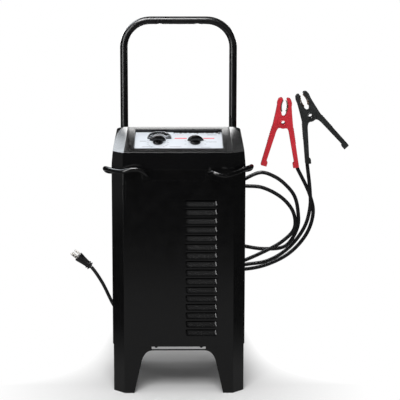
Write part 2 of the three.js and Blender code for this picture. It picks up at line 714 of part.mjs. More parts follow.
// Each charging cable makes one loop at the right, turns back behind the cabinet and rises to its clamp.
const POSITIVE_PATH = [
  ...straightOut(POSITIVE_EXIT), [94, 155, 421], [104, 164, 427], [124, 166, 439], [145, 163, 455],
  [170, 159, 473], [212, 158, 490], [246, 158, 479], [272, 158, 460], [297, 158, 429],
  [307, 158, 388], [306, 158, 345], [276, 158, 297], [220, 158, 289],
  [120, 162, 303], [40, 168, 297], [5, 172, 262], [35, 178, 236], [107, 182, 230],
  [173, 182, 229], [229, 182, 241], [289, 182, 273], [333, 182, 326], [348, 182, 381],
  [338, 182, 428],
];
const NEGATIVE_PATH = [
  ...straightOut(NEGATIVE_EXIT), [123.2, 150, 458], [129, 153.3, 458.5], [138, 152.5, 459], [170, 147, 457],
  [214, 146, 453], [267, 146, 424], [295, 146, 386], [297, 146, 345], [266, 146, 311], [209, 146, 279],
  [120, 152, 238], [55, 158, 200], [5, 160, 180], [-12, 163, 197], [10, 166, 215],
  [68, 169, 228], [172, 170, 244], [232, 170, 255], [286, 170, 290], [326, 170, 346],
  [339, 170, 400], [338, 170, 440],
];

const dcCable = (path, end) => rod([...path, end], DC_CABLE_R, 3, 6);

// ---------------------------------------------------------------- mains plug

const PLUG = { place: [-225.6, 140, 246.4], lean: degrees(-50), roll: degrees(56), length: 43 };

function plugBody() {
  const end = PLUG.length;
  const profile = [
    [0, 0], [6, 0], [6.6, 2], [11, 2.8], [11.4, 4.2], [8.4, 5.2], [8.4, 7.6], [11, 8.4],
    [11.4, 9.8], [9.3, 10.8], [9.8, 19], [11.5, 30], [13.2, end - 2], [13.2, end], [0, end],
  ];
  return solidOf(geometryOf(turned(profile, 16)).scale(1, 0.85, 1));
}

const PRONG = { foot: PLUG.length + GAP, blade: 16.5, ground: 20, spread: 6.35, drop: 8.5 };

function plugBlade(side) {
  const { foot, blade, spread, drop } = PRONG;
  const tip = foot + blade;
  const outline = [
    [drop - 8, foot], [drop - 1.7, foot], [drop - 1.7, tip - 2], [drop - 3, tip],
    [drop - 6.7, tip], [drop - 8, tip - 2],
  ];
  return alongY(outline, side * spread - 0.75, side * spread + 0.75);
}

const groundPin = () =>
  join(
    bar([-PRONG.drop, 0, PRONG.foot], [-PRONG.drop, 0, PRONG.foot + PRONG.ground - 3], 2.4, 12),
    bar(
      [-PRONG.drop, 0, PRONG.foot + PRONG.ground - 3], [-PRONG.drop, 0, PRONG.foot + PRONG.ground],
      2.4, 12, 1,
    ),
  );

// ---------------------------------------------------------------- battery clamps

// One half of a clamp in its own plane: u points away from the middle, v up to the jaws.
function leverOutline(splay) {
  const [sin, cos] = [Math.sin(splay), Math.cos(splay)];
  const shoulder = [26, -8];
  const at = (along, inward) => [
    shoulder[0] + sin * along - cos * inward,
    shoulder[1] - cos * along - sin * inward,
  ];
  const { jaw, handle } = CLAMP;
  const half = new THREE.Shape();
  half.moveTo(GAP, 14.5);
  half.quadraticCurveTo(6.5, 20, 4.4, 31);
  half.quadraticCurveTo(13, 45, 6.6, jaw - 1);
  half.lineTo(9, jaw + 1);
  half.lineTo(13.5, jaw);
  half.lineTo(16.8, jaw - 5);
  half.lineTo(19.5, 42);
  half.lineTo(20.5, 27);
  half.lineTo(...shoulder);
  half.lineTo(...at(handle, 0));
  half.lineTo(...at(handle, 15));
  half.lineTo(...at(handle - 11, 15));
  half.lineTo(...at(handle - 14, 11));
  half.lineTo(...at(15, 13));
  const [u, v] = at(3, 14);
  half.quadraticCurveTo(u, v, 9, -14.3);
  half.lineTo(GAP, -14.3);
  return half;
}

const disc = (radius, y0, y1, sides = 20) => bar([0, y0, 0], [0, y1, 0], radius, sides);

// The cable lever carries the outer cheeks round the pivot, and the free lever the inner ones.
const SPRING_HALF = 3.6;
const CHEEK = { inner: [4.2, 7.3], outer: [7.6, CLAMP.half] };

function lever(splay, cheeks) {
  const { half, hub } = CLAMP;
  const [near, far] = cheeks;
  const plate = alongY(leverOutline(splay), -half, half, 4);
  const room = hub + 0.4;
  const clear = [
    disc(room, -near, near),
    ...(far < half ? [disc(room, far, half + 1), disc(room, -half - 1, -far)] : []),
  ];
  const cheekDiscs = [disc(hub, near, far), disc(hub, -far, -near)];
  const hole = disc(CLAMP.eyelet + 1.7, -half - 5, half + 5, 12);
  return cut(join(cut(plate, ...clear), ...cheekDiscs), hole);
}

// A hollow rivet with a collar at each end.
function eyelet() {
  const { eyelet: bore, boss, half } = CLAMP;
  const barrel = bore + 1.4;
  const end = half + GAP;
  const profile = [
    [bore, -end - 1.4], [boss, -end - 1.4], [boss, -end], [barrel, -end], [barrel, end],
    [boss, end], [boss, end + 1.4], [bore, end + 1.4], [bore, -end - 1.4],
  ];
  return solidOf(geometryOf(turned(profile, 12)).rotateX(Math.PI / 2));
}

// A torsion spring: two turns round the rivet, with its ends bent outwards.
function torsionSpring() {
  const wire = 0.9;
  const radius = 8.6;
  const points = [];
  const turns = 2;
  const perTurn = 12;
  points.push([12.5, -SPRING_HALF + wire, -3]);
  for (let i = 0; i <= turns * perTurn; i++) {
    const turn = (2 * Math.PI * i) / perTurn;
    const y = -SPRING_HALF + wire + ((2 * SPRING_HALF - 2 * wire) * i) / (turns * perTurn);
    points.push([radius * Math.cos(turn), y, radius * Math.sin(turn)]);
  }
  points.push([12.5, SPRING_HALF - wire, 3]);
  return rod(points, wire, 1, 6);
}

// A toothed copper strip along the inside of one jaw.
function jawInsert() {
  const strip = new THREE.Shape();
  strip.moveTo(4.1, 33);
  strip.quadraticCurveTo(12.2, 45, 6, CLAMP.jaw - 2);
  const teeth = 4;
  for (let i = 0; i < teeth; i++) {
    const v = CLAMP.jaw - 4 - i * 6.2;
    const depth = 4.4 + 3.2 * Math.sin(((i + 0.7) / teeth) * Math.PI);
    strip.lineTo(depth - 2.6, v);
    strip.lineTo(depth, v - 3.1);
  }
  return alongY(strip, -6, 6, 5);
}

function clamp(prefix, spec) {
  const group = new THREE.Group();
  group.position.set(...spec.pivot);
  group.rotation.y = spec.lean;
  charger.add(group);
  const sided = (name, solid, finish, side) => {
    const mesh = add(name, solid, finish, group);
    mesh.scale.x = side;
  };
  const { cableSide, splay, finish } = spec;
  sided(`${prefix}_cable_lever`, lever(splay, CHEEK.outer), finish, cableSide);
  sided(`${prefix}_free_lever`, lever(splay, CHEEK.inner), finish, -cableSide);
  sided(`${prefix}_cable_jaw_teeth`, jawInsert(), COPPER, cableSide);
  sided(`${prefix}_free_jaw_teeth`, jawInsert(), COPPER, -cableSide);
  add(`${prefix}_pivot_eyelet`, eyelet(), finish, group);
  add(`${prefix}_torsion_spring`, torsionSpring(), STEEL, group);
}

// Where a cable meets its lever, just below the end of the handle.
function cableEnd({ pivot, lean, cableSide, splay }) {
  const along = CLAMP.handle + 1.8;
  const inward = 5;
  const u = 26 + Math.sin(splay) * along - Math.cos(splay) * inward;
  const v = -8 - Math.cos(splay) * along - Math.sin(splay) * inward;
  const place = new THREE.Vector3(cableSide * u, 0, v);
  place.applyAxisAngle(new THREE.Vector3(0, 1, 0), lean);
  return [pivot[0] + place.x, pivot[1], pivot[2] + place.z];
}

const RED_CLAMP = {
  pivot: [267.4, 182, 616.4], lean: degrees(3.6), cableSide: 1, splay: degrees(12.5),
  finish: RED_PLASTIC,
};
const BLACK_CLAMP = {
  pivot: [335.7, 170, 636.2], lean: degrees(-23.6), cableSide: -1, splay: degrees(18.5),
  finish: DARK_PLASTIC,
};

// ---------------------------------------------------------------- the assembly

add("cabinet_shell", cabinetShell(), BLACK_PAINT);
add("rear_panel", rearPanel(), BLACK_PAINT);
add("bottom_pan", bottomPan(), BLACK_PAINT);
add("leg_frame", legFrame(), BLACK_PAINT);
add("top_cap", topCap(), BLACK_PLASTIC);
add(
  "front_badge_plate",
  box(-BADGE.halfWidth, BADGE.halfWidth, FRONT - GAP - 1, FRONT - GAP, BADGE.bottom, BADGE.top),
  BLACK_PAINT,
);
add("left_cord_hook", cordHook(-76, LEFT_HOOK_PATH), BLACK_PAINT);
add("right_cord_hook", cordHook(75, RIGHT_HOOK_PATH), BLACK_PAINT);
add("handle_tube", handleTube(), BLACK_PAINT);
add("handle_bracket_left", handleBracket(-1), STEEL);
add("handle_bracket_right", handleBracket(1), STEEL);

const axleEnd = WHEEL.outer + 4.5;
add("axle", bar([-axleEnd, AXLE.y, AXLE.z], [axleEnd, AXLE.y, AXLE.z], AXLE.radius, 16), STEEL);
add("wheel_left", wheel(-1), RUBBER);
add("wheel_right", wheel(1), RUBBER);
add("axle_cap_left", axleCap(-1), STEEL);
add("axle_cap_right", axleCap(1), STEEL);
add("axle_bracket_left", axleBracket(-1), BLACK_PAINT);
add("axle_bracket_right", axleBracket(1), BLACK_PAINT);

add("panel_label", panelLabel(), LABEL_WHITE);
add("panel_screw", panelScrew(), STEEL);
const onShaft = (solid, { x, s }, lift = 0) => onPanel(moved(solid, x, s, lift));
add("timer_knob", onShaft(knob(false), TIMER, KNOB_FOOT), BLACK_PLASTIC);
add("timer_shaft", onShaft(shaft(), TIMER), BRASS);
add("timer_unit", onShaft(shaftCarrier(timerBody()), TIMER), DARK_PLASTIC);
add("selector_knob", onShaft(knob(true), SELECTOR, KNOB_FOOT), BLACK_PLASTIC);
add("selector_shaft", onShaft(shaft(), SELECTOR), BRASS);
add("selector_switch", onShaft(shaftCarrier(switchBody()), SELECTOR), DARK_PLASTIC);
add("ammeter_housing", meterHousing(), BLACK_PLASTIC);
add("ammeter_needle", meterNeedle(), LABEL_WHITE);
add("ammeter_lens", meterLens(), CLEAR);

add("transformer_core", transformerCore(), CORE_STEEL);
add("transformer_winding", transformerWinding(), COPPER);
add("transformer_strap", transformerStrap(), STEEL);
add("rectifier_heatsink", rectifierHeatsink(), ALUMINIUM);
add("rectifier_diode_left", rectifierDiode(SINK.x0 + 35), STEEL);
add("rectifier_diode_right", rectifierDiode(SINK.x1 - 35), STEEL);
add("thermal_breaker", thermalBreaker(), DARK_PLASTIC);
add("fan_frame", fanFrame(), DARK_PLASTIC);
add("fan_rotor", fanRotor(), DARK_PLASTIC);

add("power_cord", powerCord(), RUBBER);
add("power_cord_grip", cableGrip(CORD_EXIT, POWER_CORD_R), DARK_PLASTIC);
const plug = new THREE.Group();
plug.position.set(...PLUG.place);
plug.rotation.y = PLUG.lean;
const rolled = new THREE.Group();
rolled.rotation.z = PLUG.roll;
plug.add(rolled);
charger.add(plug);
add("plug_body", plugBody(), RUBBER, rolled);
add("plug_blade_line", plugBlade(1), BRASS, rolled);
add("plug_blade_neutral", plugBlade(-1), BRASS, rolled);
add("plug_ground_pin", groundPin(), BRASS, rolled);

add("dc_cable_positive", dcCable(POSITIVE_PATH, cableEnd(RED_CLAMP)), RUBBER);
add("dc_cable_negative", dcCable(NEGATIVE_PATH, cableEnd(BLACK_CLAMP)), RUBBER);
add("dc_cable_grip_positive", cableGrip(POSITIVE_EXIT, DC_CABLE_R), DARK_PLASTIC);
add("dc_cable_grip_negative", cableGrip(NEGATIVE_EXIT, DC_CABLE_R), DARK_PLASTIC);
clamp("red", RED_CLAMP);
clamp("black", BLACK_CLAMP);

// The part's origin: on the floor, at the middle of the bounding box, leads and clamps included,
// to the nearest tenth of a millimetre.
const bounds = new THREE.Box3().setFromObject(charger, true);
const tenth = (value) => Math.round(value * 10) / 10;
charger.position.set(
  -tenth((bounds.min.x + bounds.max.x) / 2),
  -tenth((bounds.min.y + bounds.max.y) / 2),
  -GROUND,
);

export default charger;
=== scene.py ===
import json
import math

import bmesh
import bpy
from mathutils import Matrix, Vector

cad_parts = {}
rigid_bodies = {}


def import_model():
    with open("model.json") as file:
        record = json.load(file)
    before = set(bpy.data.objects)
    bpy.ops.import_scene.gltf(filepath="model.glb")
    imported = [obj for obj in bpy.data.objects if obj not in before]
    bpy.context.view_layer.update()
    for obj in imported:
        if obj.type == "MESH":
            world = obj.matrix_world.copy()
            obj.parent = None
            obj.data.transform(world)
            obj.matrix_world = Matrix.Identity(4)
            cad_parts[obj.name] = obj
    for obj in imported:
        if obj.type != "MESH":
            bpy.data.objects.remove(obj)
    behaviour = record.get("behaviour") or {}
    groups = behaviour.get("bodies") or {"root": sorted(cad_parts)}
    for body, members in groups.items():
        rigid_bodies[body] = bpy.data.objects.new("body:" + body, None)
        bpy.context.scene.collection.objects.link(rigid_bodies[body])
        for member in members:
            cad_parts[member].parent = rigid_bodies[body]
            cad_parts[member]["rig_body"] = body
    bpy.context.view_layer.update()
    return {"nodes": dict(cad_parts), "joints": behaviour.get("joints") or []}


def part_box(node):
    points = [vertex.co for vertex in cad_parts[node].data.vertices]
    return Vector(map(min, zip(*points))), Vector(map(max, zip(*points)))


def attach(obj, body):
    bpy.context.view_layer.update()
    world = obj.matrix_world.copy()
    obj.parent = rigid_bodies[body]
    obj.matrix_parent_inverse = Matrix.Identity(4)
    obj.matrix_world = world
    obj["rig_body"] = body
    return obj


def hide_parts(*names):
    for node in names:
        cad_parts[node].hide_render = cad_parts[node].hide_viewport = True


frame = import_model()

# ---------------------------------------------------------------- places and sizes from the frame

CABINET_BOTTOM = 114
shell_low, shell_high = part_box("cabinet_shell")
origin = (shell_low + shell_high) / 2
origin.z = shell_low.z - CABINET_BOTTOM / 1000
TO_FRAME = Matrix.Translation(origin) @ Matrix.Scale(0.001, 4)
FROM_FRAME = TO_FRAME.inverted()


def cad(node):
    """Lowest and highest corner of a CAD node, in the cabinet's millimetres."""
    return [FROM_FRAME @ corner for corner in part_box(node)]


JOINTS = {joint["name"]: joint for joint in frame["joints"]}


def pivot_of(joint):
    return FROM_FRAME @ Vector(JOINTS[joint]["pos_m"])


HALF_WIDTH = cad("cabinet_shell")[1].x
FRONT = cad("cabinet_shell")[0].y
REAR = cad("cabinet_shell")[1].y
CABINET_TOP = cad("cabinet_shell")[1].z
PEAK = cad("top_cap")[1].z
GROUND = cad("leg_frame")[0].z
HANDLE_RADIUS = (cad("handle_tube")[1].y - cad("handle_tube")[0].y) / 2
CREASE = 596
CORNER = 28
SHEET = 1.5
GAP = 0.3

# The control panel's own frame: x across, y up the slope from the crease, z out of the face.
panel_normal = Vector(JOINTS["timer_knob_turn"]["axis"])
SLOPE = math.atan2(-panel_normal.y, panel_normal.z)
ON_PANEL = Matrix.Translation((0, FRONT, CREASE)) @ Matrix.Rotation(SLOPE, 4, "X")


def on_panel(joint):
    """Where a joint's axis meets the panel: (x, distance up the slope)."""
    place = ON_PANEL.inverted() @ pivot_of(joint)
    return place.x, place.y


TIMER = on_panel("timer_knob_turn")
SELECTOR = on_panel("selector_knob_turn")
METER = on_panel("ammeter_needle_swing")

# Heights from the panel's face, the meter's arch round its pivot, and the radius of the shafts' holes.
RECESS_DEPTH = 9
LABEL_TOP = -7.9
ARCH = {"inner": 15, "outer": 29.5, "top": -3}
KNOB_FOOT = LABEL_TOP + 0.6
SHAFT_HOLE = 5.5

LOUVRES = {"count": 16, "x": 55.3, "top": 471, "pitch": 21.5, "half": 38.5, "rise": 8, "depth": 7.5}

# ---------------------------------------------------------------- materials


class Finish:
    """A principled material named after a slot, with short names for the nodes it needs."""

    def __init__(self, slot, metallic=0.0):
        self.slot = slot
        self.material = bpy.data.materials.new(slot)
        self.material.use_nodes = True
        self.nodes = self.material.node_tree.nodes
        self.links = self.material.node_tree.links
        self.surface = self.nodes["Principled BSDF"]
        self.place = self.node("ShaderNodeTexCoord").outputs["Object"]
        self.set("Metallic", metallic)

    def node(self, kind, **settings):
        made = self.nodes.new(kind)
        for name, value in settings.items():
            setattr(made, name, value)
        return made

    def feed(self, socket, value):
        if isinstance(value, bpy.types.NodeSocket):
            self.links.new(value, socket)
        else:
            socket.default_value = value

    def set(self, name, value):
        self.feed(self.surface.inputs[name], value)

    def math(self, operation, *values):
        made = self.node("ShaderNodeMath", operation=operation)
        for socket, value in zip(made.inputs, values):
            self.feed(socket, value)
        return made.outputs[0]

    def noise(self, scale, detail=2.0, stretch=(1, 1, 1)):
        """Noise from 0 to 1; the scale is in features to a metre."""
        mapped = self.node("ShaderNodeMapping")
        self.feed(mapped.inputs["Vector"], self.place)
        mapped.inputs["Scale"].default_value = stretch
        made = self.node("ShaderNodeTexNoise")
        self.feed(made.inputs["Vector"], mapped.outputs["Vector"])
        made.inputs["Scale"].default_value = scale
        made.inputs["Detail"].default_value = detail
        return made.outputs["Fac"]

    def cells(self, scale):
        made = self.node("ShaderNodeTexVoronoi")
        self.feed(made.inputs["Vector"], self.place)
        made.inputs["Scale"].default_value = scale
        return made.outputs["Color"]

    def spread(self, value, low, high, start=0.3, end=0.7):
        """Value from start..end brought to low..high, and held there outside it."""
        made = self.node("ShaderNodeMapRange")
        for socket, number in zip(made.inputs, (value, start, end, low, high)):
            self.feed(socket, number)
        return made.outputs[0]

    def blend(self, share, first, second):
        made = self.node("ShaderNodeMix", data_type="RGBA")
        colors = [(*c, 1) if isinstance(c, tuple) else c for c in (first, second)]
        self.feed(made.inputs[0], share)
        self.feed(made.inputs[6], colors[0])
        self.feed(made.inputs[7], colors[1])
        return made.outputs[2]

    def mixed(self, share, first, second):
        """One shader going over into another."""
        made = self.node("ShaderNodeMixShader")
        self.feed(made.inputs[0], share)
        self.links.new(first, made.inputs[1])
        self.links.new(second, made.inputs[2])
        return made.outputs[0]

    def bump(self, height, depth):
        """Raises the surface by height times depth metres."""
        made = self.node("ShaderNodeBump")
        made.inputs["Distance"].default_value = depth
        self.feed(made.inputs["Height"], height)
        self.set("Normal", made.outputs["Normal"])

    def between(self, value, low, high):
        over = self.math("GREATER_THAN", value, low)
        under = self.math("LESS_THAN", value, high)
        return self.math("MULTIPLY", over, under)

    def patch(self, x, y, x0, x1, y0, y1):
        """1 inside a rectangle, else 0."""
        return self.math("MULTIPLY", self.between(x, x0, x1), self.between(y, y0, y1))

    def any_of(self, masks):
        total = masks[0]
        for mask in masks[1:]:
            total = self.math("MAXIMUM", total, mask)
        return total

    def panel_place(self):
        """Millimetres across the panel and up its slope."""
        origin = TO_FRAME @ Vector((0, FRONT, CREASE))
        moved = self.node("ShaderNodeVectorMath", operation="SUBTRACT")
        self.feed(moved.inputs[0], self.place)
        moved.inputs[1].default_value = origin
        turned = self.node("ShaderNodeVectorRotate", rotation_type="X_AXIS")
        self.feed(turned.inputs["Vector"], moved.outputs[0])
        turned.inputs["Angle"].default_value = -SLOPE
        split = self.node("ShaderNodeSeparateXYZ")
        self.feed(split.inputs[0], turned.outputs[0])
        return [self.math("MULTIPLY", split.outputs[i], 1000) for i in (0, 1)]

    def polar(self, x, y, centre):
        """Distance from a centre and the angle round it, from -1 to 1 for a full turn, 0 straight up."""
        dx = self.math("SUBTRACT", x, centre[0])
        dy = self.math("SUBTRACT", y, centre[1])
        squares = self.math("ADD", self.math("MULTIPLY", dx, dx), self.math("MULTIPLY", dy, dy))
        angle = self.math("DIVIDE", self.math("ARCTAN2", dx, dy), math.pi)
        return self.math("SQRT", squares), angle

    def ticks(self, x, y, centre, inner, outer, steps, width, sweep):
        """Marks round a dial: steps to half a turn, out to sweep of half a turn on either side."""
        radius, angle = self.polar(x, y, centre)
        phase = self.math("FRACT", self.math("ADD", self.math("MULTIPLY", angle, steps), 0.5))
        off = self.math("ABSOLUTE", self.math("SUBTRACT", phase, 0.5))
        mark = self.math("LESS_THAN", off, width)
        ring = self.math("MULTIPLY", self.between(radius, inner, outer), mark)
        return self.math("MULTIPLY", ring, self.between(angle, -sweep, sweep))


def coated(slot, sheen, relief, color=None, tone=None, metallic=0.0, stretch=(1, 1, 1)):
    """A finish that varies with noise, in one color or a tone between two.
    Sheen: noise scale, detail, lowest and highest roughness. Relief: noise scale, detail, depth in metres.
    Tone: noise scale, detail, the noise where it starts and ends, first and second color."""
    made = Finish(slot, metallic)
    if color:
        made.set("Base Color", (*color, 1))
    else:
        scale, detail, start, end, first, second = tone
        share = made.spread(made.noise(scale, detail), 0, 1, start, end)
        made.set("Base Color", made.blend(share, first, second))
    scale, detail, smooth, rough = sheen
    made.set("Roughness", made.spread(made.noise(scale, detail, stretch), smooth, rough))
    scale, detail, depth = relief
    made.bump(made.noise(scale, detail, stretch), depth)
    return made


def meter_plastic():
    """Black dial with silver rims and white end marks."""
    made = Finish("meter_plastic")
    x, y = made.panel_place()
    radius, angle = made.polar(x, y, METER)
    rims = made.any_of([
        made.math("LESS_THAN", radius, ARCH["inner"] + 1.6),
        made.math("GREATER_THAN", radius, ARCH["outer"] - 1.6),
    ])
    ends = made.math("SUBTRACT", 1, made.between(angle, -0.3, 0.3))
    bold = made.ticks(x, y, METER, ARCH["inner"] + 3.5, ARCH["outer"] - 4, 9, 0.17, 0.49)
    white = made.math("MULTIPLY", bold, ends)
    dial = made.blend(white, (0.005, 0.005, 0.006), (0.75, 0.77, 0.8))
    scuffs = made.spread(made.noise(90, 4), 0.42, 0.55)
    made.set("Base Color", made.blend(rims, dial, (0.3, 0.31, 0.33)))
    made.set("Metallic", made.math("MULTIPLY", rims, 0.4))
    made.set("Roughness", made.math("MULTIPLY", scuffs, 0.6))
    made.bump(made.noise(1200, 2), 0.00001)
    return made


def printed_label():
    """White film with plain dial marks, bars and dashes, and no lettering."""
    made = Finish("panel_white")
    x, y = made.panel_place()

    def patches(*sides):
        return made.any_of([made.patch(x, y, *four) for four in sides])

    def stripes(pitch, share):
        return made.math("LESS_THAN", made.math("FRACT", made.math("DIVIDE", x, pitch)), share)

    red = patches((-9.5, 20, 78.5, 82.5), (60, 87, 78.5, 82.5))
    pale_red = made.math("MULTIPLY", patches((-9.5, 11, 95.6, 97.6)), stripes(4.2, 0.62))
    dashes = patches(
        (-94, -78, 64.5, 69), (66, 92, 61.5, 65), (-88, -62, 39, 42.5), (-22, 6, 38, 42),
        (70, 92, 95, 99), (54, 76, 36, 39.5), (-102, -86, 25, 28.5),
    )
    grey = made.any_of([
        made.math("MULTIPLY", dashes, stripes(2.4, 0.6)),
        made.ticks(x, y, TIMER, 22.5, 27, 10, 0.12, 0.84),
        made.ticks(x, y, SELECTOR, 22.5, 27.5, 5, 0.07, 0.62),
    ])
    teeth_edge = made.spread(made.noise(170, 0, (1, 0, 0)), 103.5, 107.5)
    teeth_row = made.math("GREATER_THAN", y, teeth_edge)
    black = made.math("MULTIPLY", teeth_row, made.between(x, -12, 97))
    paper = made.blend(made.spread(made.noise(14, 3), 0, 1), (0.6, 0.64, 0.7), (0.67, 0.7, 0.74))
    ink = made.blend(made.math("MULTIPLY", grey, 0.75), paper, (0.2, 0.21, 0.24))
    ink = made.blend(made.math("MULTIPLY", pale_red, 0.6), ink, (0.75, 0.2, 0.2))
    ink = made.blend(red, ink, (0.7, 0.07, 0.1))
    made.set("Base Color", made.blend(black, ink, (0.01, 0.01, 0.011)))
    made.set("Roughness", made.spread(made.noise(60, 3), 0.46, 0.56))
    made.set("Specular IOR Level", 0.12)
    made.bump(made.noise(900, 2), 0.00001)
    return made


def clear_plastic():
    made = Finish("clear")
    made.set("Base Color", (0.95, 0.97, 1.0, 1))
    made.set("Transmission Weight", 1.0)
    made.set("IOR", 1.12)
    made.set("Roughness", made.spread(made.noise(200, 3), 0.01, 0.06))
    return made


def metal(slot, color, roughness, stretch=(1, 1, 1)):
    """Bare metal with fine brushed or rolled streaks."""
    return coated(
        slot, (300, 5, roughness - 0.08, roughness + 0.12), (300, 5, 0.00002),
        tone=(45, 4, 0.3, 0.7, color, tuple(0.72 * part for part in color)),
        metallic=1.0, stretch=stretch,
    )


def zinc_plate():
    """Zinc with its spangles, which differ in roughness."""
    made = metal("zinc_steel", (0.55, 0.56, 0.58), 0.34)
    spangle = made.node("ShaderNodeSeparateColor")
    made.feed(spangle.inputs[0], made.cells(240))
    made.set("Roughness", made.spread(spangle.outputs[0], 0.28, 0.44, 0, 1))
    return made


def laminated_core():
    """Varnished steel laminations, stacked front to back."""
    made = Finish("core_steel", 0.7)
    made.set("Roughness", 0.45)
    waves = made.node("ShaderNodeTexWave", bands_direction="Y")
    made.feed(waves.inputs["Vector"], made.place)
    waves.inputs["Scale"].default_value = 320
    made.set("Base Color", made.blend(waves.outputs["Fac"], (0.05, 0.045, 0.04), (0.16, 0.15, 0.14)))
    made.bump(waves.outputs["Fac"], 0.0001)
    return made


def moulded(slot, dark, light, roughness):
    """Glossy moulded plastic with a slight flow of tone."""
    return coated(
        slot, (160, 4, roughness - 0.06, roughness + 0.1), (900, 3, 0.00004),
        tone=(28, 3, 0.3, 0.7, dark, light),
    )


PAINT = coated(
    "black_paint", (35, 4, 0.17, 0.25), (420, 2, 0.000012),
    tone=(900, 6, 0.62, 0.8, (0.0015, 0.0015, 0.0017), (0.002725, 0.002725, 0.002995)),
)
HANDLE = coated("handle_paint", (60, 4, 0.25, 0.37), (800, 3, 0.00002), color=(0.0016, 0.0016, 0.0018))
CAP = coated(
    "cap_plastic", (30, 4, 0.12, 0.16), (1500, 3, 0.000004),
    tone=(1500, 3, 0, 1, (0.0024, 0.0024, 0.0027), (0.0042, 0.0042, 0.0046)),
)
KNOB = coated("knob_plastic", (120, 4, 0.2, 0.3), (2200, 2, 0.00001), color=(0.002, 0.002, 0.0023))
DIAL = meter_plastic()
LABEL = printed_label()
CLEAR = clear_plastic()
DARK = coated("dark_plastic", (80, 4, 0.38, 0.52), (1400, 3, 0.00004), color=(0.012, 0.012, 0.013))
RUBBER = coated(
    "cable_rubber", (70, 5, 0.3, 0.44), (1100, 3, 0.00003),
    tone=(25, 4, 0, 1, (0.003, 0.003, 0.0035), (0.008, 0.008, 0.0088)),
)
TYRE = coated(
    "wheel_rubber", (50, 5, 0.55, 0.75), (700, 4, 0.00008),
    tone=(40, 5, 0, 1, (0.011, 0.011, 0.011), (0.026, 0.025, 0.024)),
)
ZINC = zinc_plate()
BRASS = metal("brass", (0.72, 0.7, 0.66), 0.34)
CORE = laminated_core()
COPPER = metal("copper", (0.62, 0.42, 0.3), 0.36)
ALUMINIUM = metal("aluminium", (0.7, 0.71, 0.72), 0.38, (1, 1, 12))
CLAMP_RED = moulded("clamp_red", (0.5, 0.012, 0.022), (0.6, 0.02, 0.035), 0.3)
CLAMP_BLACK = moulded("clamp_black", (0.012, 0.013, 0.013), (0.022, 0.024, 0.024), 0.34)

# ---------------------------------------------------------------- mesh tools

ALONG_X = Matrix(((0, 0, 1, 0), (1, 0, 0, 0), (0, 1, 0, 0), (0, 0, 0, 1)))
ALONG_Y = Matrix(((1, 0, 0, 0), (0, 0, 1, 0), (0, 1, 0, 0), (0, 0, 0, 1)))
ACROSS = Matrix.Rotation(math.pi / 2, 4, "X")  # turns what is made about Z to lie front to back


def rounded(points, radius, steps=4, closed=True):
    """An outline with its corners rounded; radius is one number, or one for each corner."""
    count = len(points)
    radii = radius if isinstance(radius, (list, tuple)) else [radius] * count
    result = []
    for i, point in enumerate(points):
        corner = Vector(point)
        if radii[i] == 0 or (not closed and i in (0, count - 1)):
            result.append(tuple(corner))
            continue
        before = Vector(points[i - 1]) - corner
        after = Vector(points[(i + 1) % count]) - corner
        half = before.angle(after) / 2
        reach = min(radii[i] / math.tan(half), before.length * 0.49, after.length * 0.49)
        start = corner + before.normalized() * reach
        end = corner + after.normalized() * reach
        for k in range(steps + 1):
            t = k / steps
            result.append(tuple(start * (1 - t) ** 2 + corner * 2 * t * (1 - t) + end * t * t))
    return result


def rounded_box(x0, x1, y0, y1, radius, steps):
    return rounded([(x0, y0), (x1, y0), (x1, y1), (x0, y1)], radius, steps)


def bezier(start, control, end, steps):
    """Points of a quadratic curve after its start."""
    a, b, c = Vector(start), Vector(control), Vector(end)
    shares = [(k + 1) / steps for k in range(steps)]
    return [tuple(a * (1 - t) ** 2 + b * 2 * t * (1 - t) + c * t * t) for t in shares]


def face_outwards(bm):
    bmesh.ops.recalc_face_normals(bm, faces=bm.faces)
    return bm


def lofted(rings):
    """A closed solid through rings of points, each with the same number of them."""
    bm = bmesh.new()
    made = [[bm.verts.new(point) for point in ring] for ring in rings]
    for near, far in zip(made, made[1:]):
        for i in range(len(near)):
            j = (i + 1) % len(near)
            bm.faces.new((near[i], near[j], far[j], far[i]))
    bm.faces.new(made[0])
    bm.faces.new(made[-1])
    return face_outwards(bm)


def prism(outline, low, high, turn=Matrix.Identity(4)):
    bm = lofted([[(x, y, z) for x, y in outline] for z in (low, high)])
    bm.transform(turn)
    return face_outwards(bm)


def block(low, high):
    (x0, y0, z0), (x1, y1, z1) = low, high
    return prism([(x0, y0), (x1, y0), (x1, y1), (x0, y1)], z0, z1)


def turned(profile, sides=48, ripple=None):
    """A solid turned about Z: the profile starts and ends on the axis, or else closes on itself.
    Ripple, if given, changes a point's radius by its angle and its place in the profile."""
    bm = bmesh.new()
    rings = []
    for k, (radius, z) in enumerate(profile):
        if radius == 0:
            rings.append([bm.verts.new((0, 0, z))])
            continue
        ring = []
        for i in range(sides):
            angle = 2 * math.pi * i / sides
            r = radius + (ripple(angle, k) if ripple else 0)
            ring.append(bm.verts.new((r * math.cos(angle), r * math.sin(angle), z)))
        rings.append(ring)
    if profile[0][0] != 0:
        rings.append(rings[0])
    for near, far in zip(rings, rings[1:]):
        for i in range(sides):
            j = (i + 1) % sides
            corners = near[i % len(near)], near[j % len(near)], far[j % len(far)], far[i % len(far)]
            bm.faces.new(list(dict.fromkeys(corners)))
    return face_outwards(bm)


def disc(radius, low, high, sides=48, turn=Matrix.Identity(4)):
    bm = turned([(0, low), (radius, low), (radius, high), (0, high)], sides)
    bm.transform(turn)
    return face_outwards(bm)


